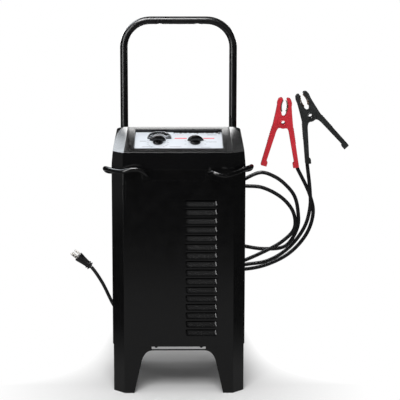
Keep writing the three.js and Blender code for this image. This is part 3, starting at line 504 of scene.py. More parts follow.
def smooth_path(points, steps):
    """A centripetal Catmull-Rom curve through the points, with so many steps between each two."""
    given = [Vector(p) for p in points]
    padded = [2 * given[0] - given[1], *given, 2 * given[-1] - given[-2]]
    path = []
    for p0, p1, p2, p3 in zip(padded, padded[1:], padded[2:], padded[3:]):
        d0, d1, d2 = [math.sqrt((b - a).length) for a, b in ((p0, p1), (p1, p2), (p2, p3))]
        leave = ((p1 - p0) / d0 - (p2 - p0) / (d0 + d1) + (p2 - p1) / d1) * d1
        arrive = ((p2 - p1) / d1 - (p3 - p1) / (d1 + d2) + (p3 - p2) / d2) * d1
        for k in range(steps):
            t = k / steps
            path.append(
                p1 * (2 * t**3 - 3 * t**2 + 1) + leave * (t**3 - 2 * t**2 + t)
                + p2 * (3 * t**2 - 2 * t**3) + arrive * (t**3 - t**2)
            )
    return [*path, given[-1]]


def swept(path, radius, sides):
    """A round rod along a path of close points."""
    ahead = [(b - a).normalized() for a, b in zip(path, path[1:])]
    ahead.append(ahead[-1])
    along = [ahead[0], *[(a + b).normalized() for a, b in zip(ahead, ahead[1:])]]
    across = along[0].orthogonal().normalized()
    turns = [2 * math.pi * i / sides for i in range(sides)]
    rings = []
    for centre, direction in zip(path, along):
        across = (across - direction * across.dot(direction)).normalized()
        other = direction.cross(across)
        rings.append([centre + (across * math.cos(a) + other * math.sin(a)) * radius for a in turns])
    return lofted(rings)


def with_step(bm, kind, other=None, **settings):
    """The mesh after one modifier; both meshes given are used up."""
    holders = []
    for source in [bm, other] if other else [bm]:
        mesh = bpy.data.meshes.new("working")
        source.to_mesh(mesh)
        source.free()
        holder = bpy.data.objects.new("working", mesh)
        bpy.context.scene.collection.objects.link(holder)
        holders.append(holder)
    step = holders[0].modifiers.new("step", kind)
    if other:
        step.object = holders[1]
    for name, value in settings.items():
        setattr(step, name, value)
    shown = holders[0].evaluated_get(bpy.context.evaluated_depsgraph_get())
    result = bmesh.new()
    result.from_mesh(shown.to_mesh())
    shown.to_mesh_clear()
    for holder in holders:
        mesh = holder.data
        bpy.data.objects.remove(holder)
        bpy.data.meshes.remove(mesh)
    return result


def cut(bm, *tools):
    for tool in tools:
        bm = with_step(bm, "BOOLEAN", tool, operation="DIFFERENCE", solver="EXACT")
    return bm


def join(bm, *others):
    for other in others:
        bm = with_step(bm, "BOOLEAN", other, operation="UNION", solver="EXACT")
    return bm


def soften(bm, width, segments=2, angle=30, chosen=lambda edge: True):
    """Rounds the edges where two faces meet at more than an angle."""
    sharp = [
        edge for edge in bm.edges
        if edge.calc_face_angle(0) > math.radians(angle) and chosen(edge)
    ]
    bmesh.ops.bevel(
        bm, geom=sharp, offset=width, segments=segments, profile=0.5,
        affect="EDGES", clamp_overlap=True,
    )
    return bm


def tidy(bm):
    """Joins loose corners and flat neighbouring faces."""
    bmesh.ops.remove_doubles(bm, verts=bm.verts, dist=0.005)
    limit = math.radians(0.5)
    bmesh.ops.dissolve_limit(bm, angle_limit=limit, verts=bm.verts, edges=bm.edges)
    return bm


def from_cad(node):
    """A copy of a CAD node's mesh, in the cabinet's millimetres, with its flat faces whole."""
    bm = bmesh.new()
    bm.from_mesh(frame["nodes"][node].data)
    bm.transform(FROM_FRAME)
    return tidy(bm)


def piece(bm, finish, *nodes, name=None, body=None, smooth=35):
    """A finished piece: it stands for CAD nodes, if any, rides on their body and takes the finish."""
    face_outwards(bm)
    bm.transform(TO_FRAME)
    name = name or nodes[0] + "_finished"
    mesh = bpy.data.meshes.new(name)
    bm.to_mesh(mesh)
    bm.free()
    mesh.shade_smooth()
    mesh.set_sharp_from_angle(angle=math.radians(smooth))
    made = bpy.data.objects.new(name, mesh)
    bpy.context.scene.collection.objects.link(made)
    mesh.materials.append(finish.material)
    shading = made.modifiers.new("even_shading", "WEIGHTED_NORMAL")
    shading.keep_sharp = True
    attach(made, body or frame["nodes"][nodes[0]]["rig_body"])
    if nodes:
        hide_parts(*nodes)
    return made


# ---------------------------------------------------------------- cabinet


def louvre_depth(x, w):
    """How far the sheet is pressed in at a height w from a louvre's middle. The top is wide and the
    lower corners are round."""
    half, rise = LOUVRES["half"], LOUVRES["rise"]
    corner, end_width, softness = 6.5, 8.5, 0.1
    down = (rise - w) / (2 * rise)
    reach = half - corner * (1 - math.sqrt(max(0, 1 - down * down)))
    inwards = min(1, max(0, (reach - abs(x - LOUVRES["x"])) / end_width))
    end = math.sqrt(1 - (1 - inwards) ** 2)
    ramp = (math.hypot(1 - down, softness) - softness) / (math.hypot(1, softness) - softness)
    return LOUVRES["depth"] * ramp * end


# A louvre's rows of points, as heights from its middle, and its rolled upper lip: (height, depth there).
LIP = [(8.3, 1.9), (8.8, 0.9), (9.6, 0.25), (10.6, 0)]
POCKET_ROWS = [-8, -7.4, -6.6, -5.4, -3.6, -1.2, 1.2, 3.6, 6, 8]
# A faint pressed band between the badge plate and the cap.
BAND = {"left": -62, "right": 70, "bottom": 531, "top": 553, "depth": 0.4}


def cabinet_rows():
    """Heights up the sheet, each with a function of x for how far it is pressed in there."""
    step = 0.8
    rows = [(CABINET_BOTTOM, lambda x: 0), (CABINET_BOTTOM + 6, lambda x: 0)]
    for i in reversed(range(LOUVRES["count"])):
        middle = LOUVRES["top"] - i * LOUVRES["pitch"]
        for w in POCKET_ROWS:
            rows.append((middle + w, lambda x, w=w: louvre_depth(x, w)))
        for w, roll in LIP:
            share = roll / LOUVRES["depth"]
            rows.append((middle + w, lambda x, s=share: louvre_depth(x, LOUVRES["rise"]) * s))

    def band(x, share):
        inside = BAND["left"] < x < BAND["right"]
        return BAND["depth"] * share if inside else 0

    bottom, top = BAND["bottom"], BAND["top"]
    for z, share in ((bottom, 0), (bottom + step, 1), (top, 1), (top + step, 0)):
        rows.append((z, lambda x, s=share: band(x, s)))
    rows.append((CABINET_TOP, lambda x: 0))
    return rows


def cabinet_columns():
    """The cabinet's plan from one rear flange round the front to the other."""
    flange = 14
    bend = 3
    x, corner = HALF_WIDTH, FRONT + CORNER
    plan = [
        (-x + flange, REAR), (-x, REAR), (-x, corner), (-x + CORNER, FRONT),
        (x - CORNER, FRONT), (x, corner), (x, REAR), (x - flange, REAR),
    ]
    path = rounded(plan, bend, 4, closed=False)
    front_starts = next(i for i, (a, b) in enumerate(zip(path, path[1:])) if b[0] - a[0] > HALF_WIDTH)
    ends = [LOUVRES["half"] - inset for inset in (0, 0.3, 0.9, 1.8, 3, 4.6, 6.4, 8.5, 11)]
    front = [LOUVRES["x"] + u for u in [-18, -9, 0, 9, 18] + ends]
    front += [LOUVRES["x"] - u for u in ends]
    front += [BAND["left"], BAND["left"] + 0.8, BAND["right"] - 0.4, BAND["right"] + 0.4, -100, -30]
    inserted = [(u, FRONT) for u in sorted(front)]
    return path[: front_starts + 1] + inserted + path[front_starts + 1 :]


def cabinet_shell():
    columns = cabinet_columns()
    rows = cabinet_rows()
    bm = bmesh.new()
    grid = []
    for z, depth in rows:
        pressed = [depth(x) if y == FRONT else 0 for x, y in columns]
        grid.append([bm.verts.new((x, y + d, z)) for (x, y), d in zip(columns, pressed)])
    slit_height, slit_depth = 0.4, 2.2
    for (_, deep), low, high in zip(rows, grid, grid[1:]):
        for i in range(len(columns) - 1):
            rise = high[i].co.z - low[i].co.z
            shallower = min(deep(columns[i][0]), deep(columns[i + 1][0]))
            is_slit = rise < slit_height and shallower > slit_depth
            if not is_slit:
                bm.faces.new((low[i], low[i + 1], high[i + 1], high[i]))
    bmesh.ops.recalc_face_normals(bm, faces=bm.faces)
    sheet = with_step(bm, "SOLIDIFY", thickness=SHEET, offset=-1, use_even_offset=False)
    piece(sheet, PAINT, "cabinet_shell", smooth=28)


def badge_plate():
    low, high = cad("front_badge_plate")
    plate = prism(rounded_box(-high.x, high.x, low.z, high.z, 3, 4), low.y, high.y, ALONG_Y)
    soften(plate, 0.5, 2, chosen=lambda edge: max(v.co.y for v in edge.verts) < low.y + 0.01)
    piece(plate, PAINT, "front_badge_plate")


def leg_frame():
    """One folded strip round the front corners, arched out between two feet."""
    side_end, foot_end = -50, -84
    shortening = 0.59  # of a 45 degree corner, for each millimetre that its faces move in

    def plan(inset):
        x, y, corner = HALF_WIDTH - inset, FRONT + inset, CORNER - shortening * inset
        return x, y, corner, [
            (-x, side_end), (-x, y + corner), (-x + corner, y),
            (x - corner, y), (x, y + corner), (x, side_end),
        ]

    x, y, corner, outside = plan(SHEET + GAP)
    inside = plan(2 * SHEET + GAP)[-1]
    outline = rounded(outside, 3, 4, closed=False) + rounded(inside, 1.5, 4, closed=False)[::-1]
    strip = prism(outline, GROUND, cad("leg_frame")[1].z)
    below = GROUND - 10
    foot, knee, knee_z, arch, arch_z = 109, 92, 70, 62, 104
    curve = bezier((knee, knee_z), (knee - 6, arch_z), (arch, arch_z), 12)
    right = [(foot + 1, below), (foot, GROUND), (knee, knee_z), *curve]
    opening = prism(right + [(-a, b) for a, b in reversed(right)], FRONT - 5, FRONT + 30, ALONG_Y)
    slot = prism(rounded_box(-66, 66, 107, 114, 1.5, 3), FRONT - 5, FRONT + 30, ALONG_Y)
    taper = prism([(side_end + 1, below), (side_end + 1, 95), (side_end - 22, below)], -200, 200, ALONG_X)
    strip = cut(strip, opening, slot, taper)
    inner, margin, thickness = foot + 1, 0.7, 2
    for side in (-1, 1):
        foot_plan = [
            (side * inner, y + margin), (side * (x - corner), y + margin),
            (side * (x - margin), y + corner), (side * (x - margin), foot_end), (side * inner, foot_end),
        ]
        strip = join(strip, prism(foot_plan, GROUND, GROUND + thickness))
    piece(strip, PAINT, "leg_frame", smooth=25)


def leg_screws():
    """Two pan-head screws under the slot's upper edge, between the legs and the bottom pan."""
    heads = []
    for side in (-1, 1):
        head = turned([(0, -6.6), (2.4, -6.5), (3.6, -5.6), (4, -4), (4, 0), (0, 0)], 24)
        head.transform(Matrix.Translation((side * 55, FRONT + 9, CABINET_BOTTOM + 1.6)))
        heads.append(head)
    piece(join(*heads), PAINT, name="leg_screws", body="charger")


# ---------------------------------------------------------------- moulded cap

EDGE_AT_CREASE = 131
EDGE_AT_PEAK = 124
ROOF_FALL = math.radians(12)
CAP_WALL = 3
# One side's outline seen from the front, from the cabinet's top to the roof.
SHOULDER = [
    (HALF_WIDTH, CABINET_TOP), (160.8, 568), (159.3, 584), (157.8, 598), (155.2, 612), (151.6, 622),
    (146.8, 628.5), (140, 634.5), (131, PEAK),
]


def cap_planes(inset, bottom):
    """The flat faces that bound the cap, drawn in by an inset: (point, outward normal)."""
    peak_y = FRONT + (PEAK - CREASE) / math.tan(SLOPE)
    edge = Vector((EDGE_AT_PEAK - EDGE_AT_CREASE, peak_y - FRONT, PEAK - CREASE))
    facet = Vector((1, 1, 0)).cross(edge).normalized()
    planes = [
        (Vector((0, 0, bottom)), Vector((0, 0, -1))),
        (Vector((0, FRONT, 0)), Vector((0, -1, 0))),
        (Vector((0, REAR, 0)), Vector((0, 1, 0))),
        (Vector((0, FRONT, CREASE)), Vector((0, -math.sin(SLOPE), math.cos(SLOPE)))),
        (Vector((0, peak_y, PEAK)), Vector((0, math.sin(ROOF_FALL), math.cos(ROOF_FALL)))),
    ]
    for side in (-1, 1):
        for (x0, z0), (x1, z1) in zip(SHOULDER, SHOULDER[1:]):
            planes.append((Vector((side * x0, 0, z0)), Vector((side * (z1 - z0), 0, x0 - x1)).normalized()))
        planes.append((Vector((side * HALF_WIDTH, FRONT + CORNER, 0)), Vector((side, -1, 0)).normalized()))
        planes.append((
            Vector((side * EDGE_AT_CREASE, FRONT, CREASE)), Vector((side * facet.x, facet.y, facet.z)),
        ))
    return [planes[0]] + [(point - normal * inset, normal) for point, normal in planes[1:]]


def cap_solid(inset, bottom):
    bm = block((-300, -300, 400), (300, 300, 800))
    for point, normal in cap_planes(inset, bottom):
        everything = bm.verts[:] + bm.edges[:] + bm.faces[:]
        result = bmesh.ops.bisect_plane(
            bm, geom=everything, plane_co=point, plane_no=normal, clear_outer=True, dist=0.0001
        )
        rim = [e for e in result["geom_cut"] if isinstance(e, bmesh.types.BMEdge)]
        bmesh.ops.holes_fill(bm, edges=rim, sides=0)
    bmesh.ops.remove_doubles(bm, verts=bm.verts, dist=0.01)
    return face_outwards(bm)


def panel_outline(grow):
    """The recess in the panel's own frame, with rounded lower corners."""
    radius = 4
    bottom, top = 107.5 + grow, 105 + grow
    low, high = 21 - grow, 110 + grow
    corners = [(-bottom, low), (bottom, low), (top, high), (-top, high)]
    return rounded(corners, [radius + grow, radius + grow, 1.5, 1.5], 5)


def meter_arc(radius, start=0, end=180, steps=32):
    """Points round the ammeter's pivot from one angle to another, in the panel's frame."""
    turns = [math.radians(start + (end - start) * k / steps) for k in range(steps + 1)]
    return [(METER[0] + radius * math.cos(a), METER[1] + radius * math.sin(a)) for a in turns]


def arch_outline(inner, outer):
    """A half ring round the ammeter's pivot."""
    return meter_arc(outer) + meter_arc(inner)[::-1]


def shaft_holes(low, high):
    return [
        disc(SHAFT_HOLE, low, high, 32, ON_PANEL @ Matrix.Translation((x, y, 0)))
        for x, y in (TIMER, SELECTOR)
    ]


def top_cap():
    bottom = CABINET_TOP + GAP
    outer = cap_solid(0, bottom)
    soften(outer, 1.8, 3, angle=4, chosen=lambda edge: min(v.co.z for v in edge.verts) > bottom + 1)
    hollow = cap_solid(CAP_WALL, bottom - 10)
    tub = lofted([
        [(x, y, h) for x, y in panel_outline(CAP_WALL)] for h in (-RECESS_DEPTH - CAP_WALL, -1)
    ])
    tub.transform(ON_PANEL)
    lip = [
        (-RECESS_DEPTH, -0.8), (-RECESS_DEPTH + 1, 0), (-1.5, 0), (-0.7, 0.2),
        (-0.15, 0.7), (0.1, 1.5), (5, 3),
    ]
    pocket = lofted([[(x, y, h) for x, y in panel_outline(grow)] for h, grow in lip])
    pocket.transform(ON_PANEL)
    window = prism(arch_outline(ARCH["inner"] - GAP, ARCH["outer"] + GAP), -30, 5, ON_PANEL)
    handle = cad("handle_tube")[1] - Vector((HANDLE_RADIUS, HANDLE_RADIUS, 0))
    tubes = [
        disc(HANDLE_RADIUS + GAP, CABINET_TOP - 10, PEAK + 10, 48, Matrix.Translation((x, handle.y, 0)))
        for x in (-handle.x, handle.x)
    ]
    shell = cut(outer, hollow)
    shell = join(shell, tub)
    shell = cut(shell, pocket, window, *shaft_holes(-30, 5), *tubes)
    piece(shell, CAP, "top_cap", smooth=30)


# ---------------------------------------------------------------- control panel


def panel_label():
    sheet = prism(panel_outline(-0.5), LABEL_TOP - 0.8, LABEL_TOP, ON_PANEL)
    window = prism(arch_outline(ARCH["inner"] - GAP, ARCH["outer"] + GAP), -30, 5, ON_PANEL)
    piece(cut(sheet, window, *shaft_holes(-30, 5)), LABEL, "panel_label")


def panel_screw():
    head = turned([(0, 0), (3.2, 0), (3.2, 0.9), (2.7, 1.7), (1.8, 2), (0, 2)], 32)
    slot = block((-4, -0.45, 1.1), (4, 0.45, 3))
    head = cut(head, slot)
    head.transform(ON_PANEL @ Matrix.Translation((99, 103, LABEL_TOP + GAP)))
    piece(head, ZINC, "panel_screw")


def ammeter():
    """An arch-shaped meter: a rim round a sunk dial, over a chamber where the needle turns."""
    inner, outer, top = ARCH["inner"], ARCH["outer"], ARCH["top"]
    foot = -RECESS_DEPTH - CAP_WALL
    body = prism(arch_outline(inner, outer), foot - 2, top, ON_PANEL)
    dial = prism(arch_outline(inner + 1.5, outer - 1.5), top - 3, top + 1, ON_PANEL)
    body = soften(tidy(cut(body, dial)), 0.4, 2)

    def half_disc(radius, below):
        low_side = [(METER[0] - radius, METER[1] - below), (METER[0] + radius, METER[1] - below)]
        return meter_arc(radius, steps=24) + low_side

    chamber = prism(half_disc(outer - 2, 6), foot - 11, foot - GAP, ON_PANEL)
    hollow = prism(half_disc(outer - 3.5, 4.5), foot - 9.5, foot - 2, ON_PANEL)
    reach = 22.5
    slot = meter_arc(reach + 1.5, 35, 145, 20) + meter_arc(reach - 3, 145, 35, 20)
    gap = prism(slot, foot - 5, top + 1, ON_PANEL)
    body = cut(join(body, chamber), hollow, gap)
    stub = disc(1.2, foot - 10, foot - 7, 16, ON_PANEL @ Matrix.Translation((*METER, 0)))
    piece(join(body, stub), DIAL, "ammeter_housing")
    piece(soften(from_cad("ammeter_needle"), 0.08, 1), LABEL, "ammeter_needle")
    lens = prism(arch_outline(inner + 1.8, outer - 1.8), top - 1.2, top - 0.2, ON_PANEL)
    piece(soften(lens, 0.2, 2), CLEAR, "ammeter_lens")


def knob(place, side, node, shaft):
    """A fluted skirt under a domed fin that comes to a point at one end."""
    radius, skirt, flutes = 12.5, 5.4, 24
    profile = [(0, 0), (radius, 0), (radius, 1.2), (radius - 0.4, 3.8), (radius - 1.6, skirt), (0, skirt)]

    def flute(angle, k):
        return -0.35 * (0.5 + 0.5 * math.cos(flutes * angle)) if 0 < k < 4 else 0

    low, top, tip, blunt = 4.9, 20, 20.5, -19.5
    half_width, least_half, least_height = 4.2, 0.25, 0.5
    steps, ring_steps = 28, 16
    sections = []
    for k in range(steps + 1):
        x = blunt + (tip - blunt) * (1 - math.cos(math.pi * k / steps)) / 2
        end, arch, narrowing = (tip, 1.9, 1.8) if x > 0 else (blunt, 2.6, 5)
        share = x / end
        rise = least_height + (top - low - least_height) * max(0, 1 - share**arch) ** 0.72
        half = half_width * max(0.08, 1 - share**narrowing) + least_half
        ring = []
        for i in range(ring_steps + 1):
            a = math.pi * i / ring_steps
            bulge = math.copysign(abs(math.cos(a)) ** 0.75, math.cos(a))
            ring.append((x * side, half * bulge, low + rise * math.sin(a) ** 0.6))
        sections.append(ring)
    made = join(turned(profile, 96, flute), lofted(sections))
    made = cut(made, disc(3.3, -1, skirt + 5, 32))
    made.transform(ON_PANEL @ Matrix.Translation((*place, KNOB_FOOT)))
    piece(made, KNOB, node, smooth=40)
    piece(soften(from_cad(shaft), 0.3, 1), BRASS, shaft)


# ---------------------------------------------------------------- hooks and handle

LEFT_HOOK = [
    (-76, -136.6, 541), (-76.2, -140, 541.6), (-81, -147.5, 549), (-93, -151.5, 557), (-112, -152, 558),
    (-134, -146, 552), (-156, -127, 551), (-173, -102, 550.5), (-178, -88, 548), (-173, -80, 541),
    (-166.5, -78, 539), (-162.5, -78, 539),
]
RIGHT_HOOK = [
    (75, -136.6, 541), (75.1, -141, 541.8), (77, -156, 551), (83, -168, 553.5), (95, -174, 550),
    (110, -172, 547.5), (132, -157, 550), (155, -132, 554.5), (172.5, -99, 553.5), (177, -73, 550),
    (174, -61, 542), (166.5, -57, 539), (162.5, -57, 539),
]


def cord_hook(path, node):
    """A bent rod welded to a small plate."""
    x, face = path[0][0], FRONT - GAP
    half, low, high, thickness = 12, 530, 552, 2.5
    outline = rounded_box(x - half, x + half, low, high, 3, 4)
    plate = soften(prism(outline, face - thickness, face, ALONG_Y), 0.6, 2)
    weld = turned([(0, -2), (8.5, -2), (7.6, 0), (6.2, 1.6), (5.6, 3.4), (0, 3.4)], 32)
    weld.transform(Matrix.Translation((x, face - thickness, path[0][2])) @ ACROSS)
    rod = swept(smooth_path(path, 8), 5.5, 20)
    piece(join(plate, weld, rod), PAINT, node, smooth=40)


def handle_tube():
    """One bent tube with two shallow dimples pressed up into its top bar."""
    low, high = cad("handle_tube")
    radius, wall, bend = HANDLE_RADIUS, 1.2, 66
    x, y = high.x - radius, low.y + radius
    centre = high.z - radius - bend
    quarter = [math.pi / 2 * k / 14 for k in range(15)]
    right = [Vector((x - bend + bend * math.cos(a), y, centre + bend * math.sin(a))) for a in quarter]
    left = [Vector((-p.x, p.y, p.z)) for p in right]
    bar = [Vector((along, y, high.z - radius)) for along in range(66, -67, -3)]
    upright = [low.z + (centre - low.z) * k / 30 for k in range(30)]
    path = [Vector((x, y, z)) for z in upright] + right + bar + left[::-1]
    path += [Vector((-x, y, z)) for z in reversed(upright)]
    tube = swept(path, radius, 32)
    dimple, dimple_x, half = 1.6, 46, 8
    for vert in tube.verts:
        away = abs(abs(vert.co.x) - dimple_x)
        below = high.z - radius - vert.co.z
        if away < half and 0 < below < radius + 1:
            vert.co.z += dimple * math.cos(away / half * math.pi / 2) ** 2 * (below / radius) ** 2
    bores = [
        disc(radius - wall, low.z - 5, low.z + 60, 32, Matrix.Translation((side * x, y, 0)))
        for side in (-1, 1)
    ]
    piece(cut(tube, *bores), HANDLE, "handle_tube", smooth=60)


# ---------------------------------------------------------------- wheels


def wheel(side):
    """A solid rubber tyre with cross grooves on a ribbed plastic disc."""
    node = "wheel_left" if side < 0 else "wheel_right"
    low, high = cad(node)
    half = (high.x - low.x) / 2
    radius = (high.z - low.z) / 2
    bore, disc_edge = 5.3, 39.4
    right = [
        (bore, half), (14, half), (15, half - 1), (15.5, half - 9), (38, half - 9), (38.5, half - 3),
        (40, half - 2), (50, half - 1), (53, half - 3), (radius, half - 7),
    ]
    profile = right + [(r, -z) for r, z in reversed(right)]
    tread = {len(right) - 1, len(right)}
    grooves, groove_depth = 40, 1.2

    def ripple(angle, k):
        return -groove_depth * max(0, math.cos(grooves * angle)) ** 3 if k in tread else 0

    made = turned(profile, 240, ripple)
    ribs = []
    for i in range(6):
        for face in (1, -1):
            near, far = sorted((face * (half - 10), face * (half - 3)))
            rib = block((13, -1.6, near), (39.5, 1.6, far))
            rib.transform(Matrix.Rotation(math.pi * i / 3, 4, "Z"))
            ribs.append(face_outwards(rib))
    made = join(made, *ribs)
    centre = (low + high) / 2
    made.transform(Matrix.Translation(centre) @ Matrix.Rotation(math.pi / 2, 4, "Y"))
    for face in made.faces:
        away = face.calc_center_median() - centre
        face.material_index = 1 if math.hypot(away.y, away.z) < disc_edge else 0
    shown = piece(made, TYRE, node, smooth=35)
    shown.data.materials.append(DARK.material)


# ---------------------------------------------------------------- cables

# Where each cable leaves the rear panel, as (x, z), and the cable's radius.
EXITS = {
    "power_cord_grip": ((-100, 140), 4.4),
    "dc_cable_grip_positive": ((92, 420), 4.8),
    "dc_cable_grip_negative": ((122, 458), 4.8),
}


def cable_grip(node):
    """A bush with a collar and a ribbed sleeve, round a cable where it leaves the rear panel."""
    (x, z), cable = EXITS[node]
    low, high = cad(node)
    length = high.y - low.y
    neck, flange, bore = 7.5, 10, cable + GAP
    collar = length - 7
    profile = [
        (bore, 0), (neck, 0), (neck, collar), (flange, collar), (flange, collar + 1.6),
        (flange - 1, collar + 2.8), (bore + 2.4, collar + 3.2), (bore + 2.4, collar + 4),
        (bore + 1.7, collar + 4.4), (bore + 1.7, collar + 5), (bore + 2.2, collar + 5.4),
        (bore + 2.1, length), (bore, length),
    ]
    grip = turned(profile, 48)
    grip.transform(Matrix.Translation((x, low.y, z)) @ Matrix.Rotation(-math.pi / 2, 4, "X"))
    piece(grip, DARK, node)


POWER_CORD = [
    (-103, 153, 138), (-116, 157, 127), (-135, 155, 119), (-153, 149, 122), (-167, 143, 141),
    (-195.5, 140, 201), (-213, 140, 230), (-224.4, 140, 245.4),
]
POSITIVE_CABLE = [
    (94, 155, 421), (104, 164, 427), (124, 166, 439), (145, 163, 455), (170, 159, 473), (212, 158, 490),
    (246, 158, 479), (272, 158, 460), (297, 158, 429), (307, 158, 388), (306, 158, 345), (276, 158, 297),
    (220, 158, 289), (120, 162, 303), (40, 168, 297), (5, 172, 262), (35, 178, 236), (107, 182, 230),
    (173, 182, 229), (229, 182, 241), (289, 182, 273), (333, 182, 326), (348, 182, 381), (338, 182, 428),
]
NEGATIVE_CABLE = [
    (123.2, 150, 458), (129, 153.3, 458.5), (138, 152.5, 459), (170, 147, 457), (214, 146, 453),
    (267, 146, 424), (295, 146, 386), (297, 146, 345), (266, 146, 311), (209, 146, 279), (120, 152, 238),
    (55, 158, 200), (5, 160, 180), (-12, 163, 197), (10, 166, 215), (68, 169, 228), (172, 170, 244),
    (232, 170, 255), (286, 170, 290), (326, 170, 346), (339, 170, 400), (338, 170, 440),
]


def cable(node, grip, points):
    """A cable from just inside the rear panel, straight out through its bush and on through the points."""
    (x, z), radius = EXITS[grip]
    start = [(x, REAR + out, z) for out in (-10, 5, 11)]
    piece(swept(smooth_path([*start, *points], 8), radius, 20), RUBBER, node, smooth=60)


# ---------------------------------------------------------------- mains plug

PLUG_LENGTH = 43
PLUG = (
    Matrix.Translation((-225.6, 140, 246.4))
    @ Matrix.Rotation(math.radians(-50), 4, "Y")
    @ Matrix.Rotation(math.radians(56), 4, "Z")
)


def mains_plug():
    """A flattened body with two grip rings, two flat blades and a round pin."""
    end, flattening = PLUG_LENGTH, 0.85
    profile = [
        (0, 0), (5.6, 0), (6.2, 0.8), (6.6, 2), (10.6, 2.6), (11.4, 3.2), (11.2, 4.4), (8.6, 5.2),
        (8.4, 7.4), (10.6, 8.2), (11.4, 8.9), (11.2, 10.1), (9.3, 10.9), (9.3, 14), (9.8, 19),
        (10.6, 24.5), (11.5, 30),
        (12.5, 36), (13.2, end - 1.5), (12.8, end - 0.5), (12, end), (0, end),
    ]
    body = turned(profile, 64)
    body.transform(PLUG @ Matrix.Scale(flattening, 4, (0, 1, 0)))
    piece(body, RUBBER, "plug_body", smooth=32)
    for node in ("plug_blade_line", "plug_blade_neutral"):
        piece(soften(from_cad(node), 0.3, 2), BRASS, node)
    foot, length, drop = end + GAP, 20, 8.5
    pin_profile = [
        (0, foot), (2.4, foot), (2.4, foot + 16.5),
        (2, foot + 18.6), (1.2, foot + 19.7), (0, foot + length),
    ]
    pin = turned(pin_profile, 32)
    pin.transform(PLUG @ Matrix.Translation((-drop, 0, 0)))
    piece(pin, BRASS, "plug_ground_pin", smooth=50)


# ---------------------------------------------------------------- battery clamps

CLAMP = {
    "half": 11, "jaw": 62, "handle": 108, "hub": 15.5, "eyelet": 5, "boss": 8.5, "shoulder": (26, -8),
}
# How far from the middle the round cheeks at the pivot lie, and the curve inside a jaw: start, control, end.
CHEEKS = {"inner": (4.2, 7.3), "outer": (7.6, 11)}
JAW_INSIDE = (6.2, 25), (14.2, 42), (4.6, 60)


def on_handle(splay, along, inward):
    """A point so far along a lever's handle from its shoulder, and so far in from the outer edge."""
    u, v = CLAMP["shoulder"]
    sin, cos = math.sin(splay), math.cos(splay)
    return u + sin * along - cos * inward, v - cos * along - sin * inward


def lever_outline(splay):
    """One half of a clamp in its own plane: u away from the middle, v up to the jaws."""

    def at(along, inward):
        return on_handle(splay, along, inward)

    jaw, handle = CLAMP["jaw"], CLAMP["handle"]
    grip = []
    for k in range(7):
        start = 6 + 6 * k
        grip += [at(start, 0), at(start + 1.2, -0.9), at(start + 2.8, -0.9), at(start + 4, 0)]
    return [
        (GAP, 14.5), *bezier((GAP, 14.5), (5.5, 17), JAW_INSIDE[0], 6), *bezier(*JAW_INSIDE, 10),
        (5.6, jaw - 0.3), (7.2, jaw + 0.8), *bezier((7.2, jaw + 0.8), (14.4, jaw + 1.4), (17, jaw - 5), 5),
        (17.4, 54), (18.6, 52.6), (18.9, 46), (18.3, 44.6), (20.5, 27),
        CLAMP["shoulder"], *grip, at(handle, 0), at(handle, 15), at(handle - 11, 15),
        at(handle - 14, 11), at(15, 13), *bezier(at(15, 13), at(3, 14), (9, -14.3), 7), (GAP, -14.3),
    ]


def lever(splay, cheeks):
    """One lever, with room for the other one between or outside the round cheeks at its pivot."""
    half, hub = CLAMP["half"], CLAMP["hub"]
    near, far = cheeks
    plate = prism(lever_outline(splay), -half, half, ALONG_Y)
    soften(plate, 0.8, 2, angle=40)
    room = hub + 0.4
    clear = [disc(room, -near, near, 64, ACROSS)]
    if far < half:
        clear += [disc(room, far, half + 1, 64, ACROSS), disc(room, -half - 1, -far, 64, ACROSS)]
    plates = [disc(hub, side * (near + 0.02), side * (far - 0.02), 64, ACROSS) for side in (-1, 1)]
    hole = disc(CLAMP["eyelet"] + 1.7, -half - 5, half + 5, 40, ACROSS)
    return cut(join(cut(plate, *clear), *plates), hole)


def jaw_teeth():
    """A toothed copper strip along the inside of one jaw."""
    edge = bezier(*JAW_INSIDE, 14)[:-1]
    back = [(u - 0.4, v) for u, v in edge]
    teeth = [(u - (2, 4.2)[k % 2], v) for k, (u, v) in enumerate(edge)]
    return soften(prism(back + teeth[::-1], -6, 6, ALONG_Y), 0.2, 1)


def eyelet():
    """The hollow rivet at the pivot, with a rolled rim at either end."""
    bore, boss, half = CLAMP["eyelet"], CLAMP["boss"], CLAMP["half"]
    barrel, end = bore + 1.4, half + GAP
    front = [
        (barrel, end), (boss, end), (boss, end + 0.7),
        (boss - 0.9, end + 1.4), (bore + 0.8, end + 1.4), (bore, end + 0.6),
    ]
    ring = turned([(r, -z) for r, z in reversed(front)] + front, 48)
    ring.transform(ACROSS)
    return ring


def torsion_spring():
    """Two turns of wire round the rivet, with a short straight end on each."""
    wire, coil, turns, steps = 0.9, 8.6, 2, 32
    reach = 3.6 - wire
    path = [Vector((12.5, -reach, -3))]
    for i in range(turns * steps + 1):
        angle = 2 * math.pi * i / steps
        y = -reach + 2 * reach * i / (turns * steps)
        path.append(Vector((coil * math.cos(angle), y, coil * math.sin(angle))))
    path.append(Vector((12.5, reach, 3)))
    return swept(path, wire, 10)


def clamp(prefix, joint, lean, splay, cable_side, finish):
    """Two levers on a hollow rivet; a lever, its teeth and its body's motion share one side."""
    place = Matrix.Translation(pivot_of(joint)) @ Matrix.Rotation(lean, 4, "Y")
    parts = [
        ("cable_lever", lever(splay, CHEEKS["outer"]), finish, cable_side),
        ("free_lever", lever(splay, CHEEKS["inner"]), finish, -cable_side),
        ("cable_jaw_teeth", jaw_teeth(), COPPER, cable_side),
        ("free_jaw_teeth", jaw_teeth(), COPPER, -cable_side),
        ("pivot_eyelet", eyelet(), finish, 1),
        ("torsion_spring", torsion_spring(), ZINC, 1),
    ]
    for name, bm, look, side in parts:
        bm.transform(place @ Matrix.Scale(side, 4, (1, 0, 0)))
        piece(bm, look, f"{prefix}_{name}", smooth=38)


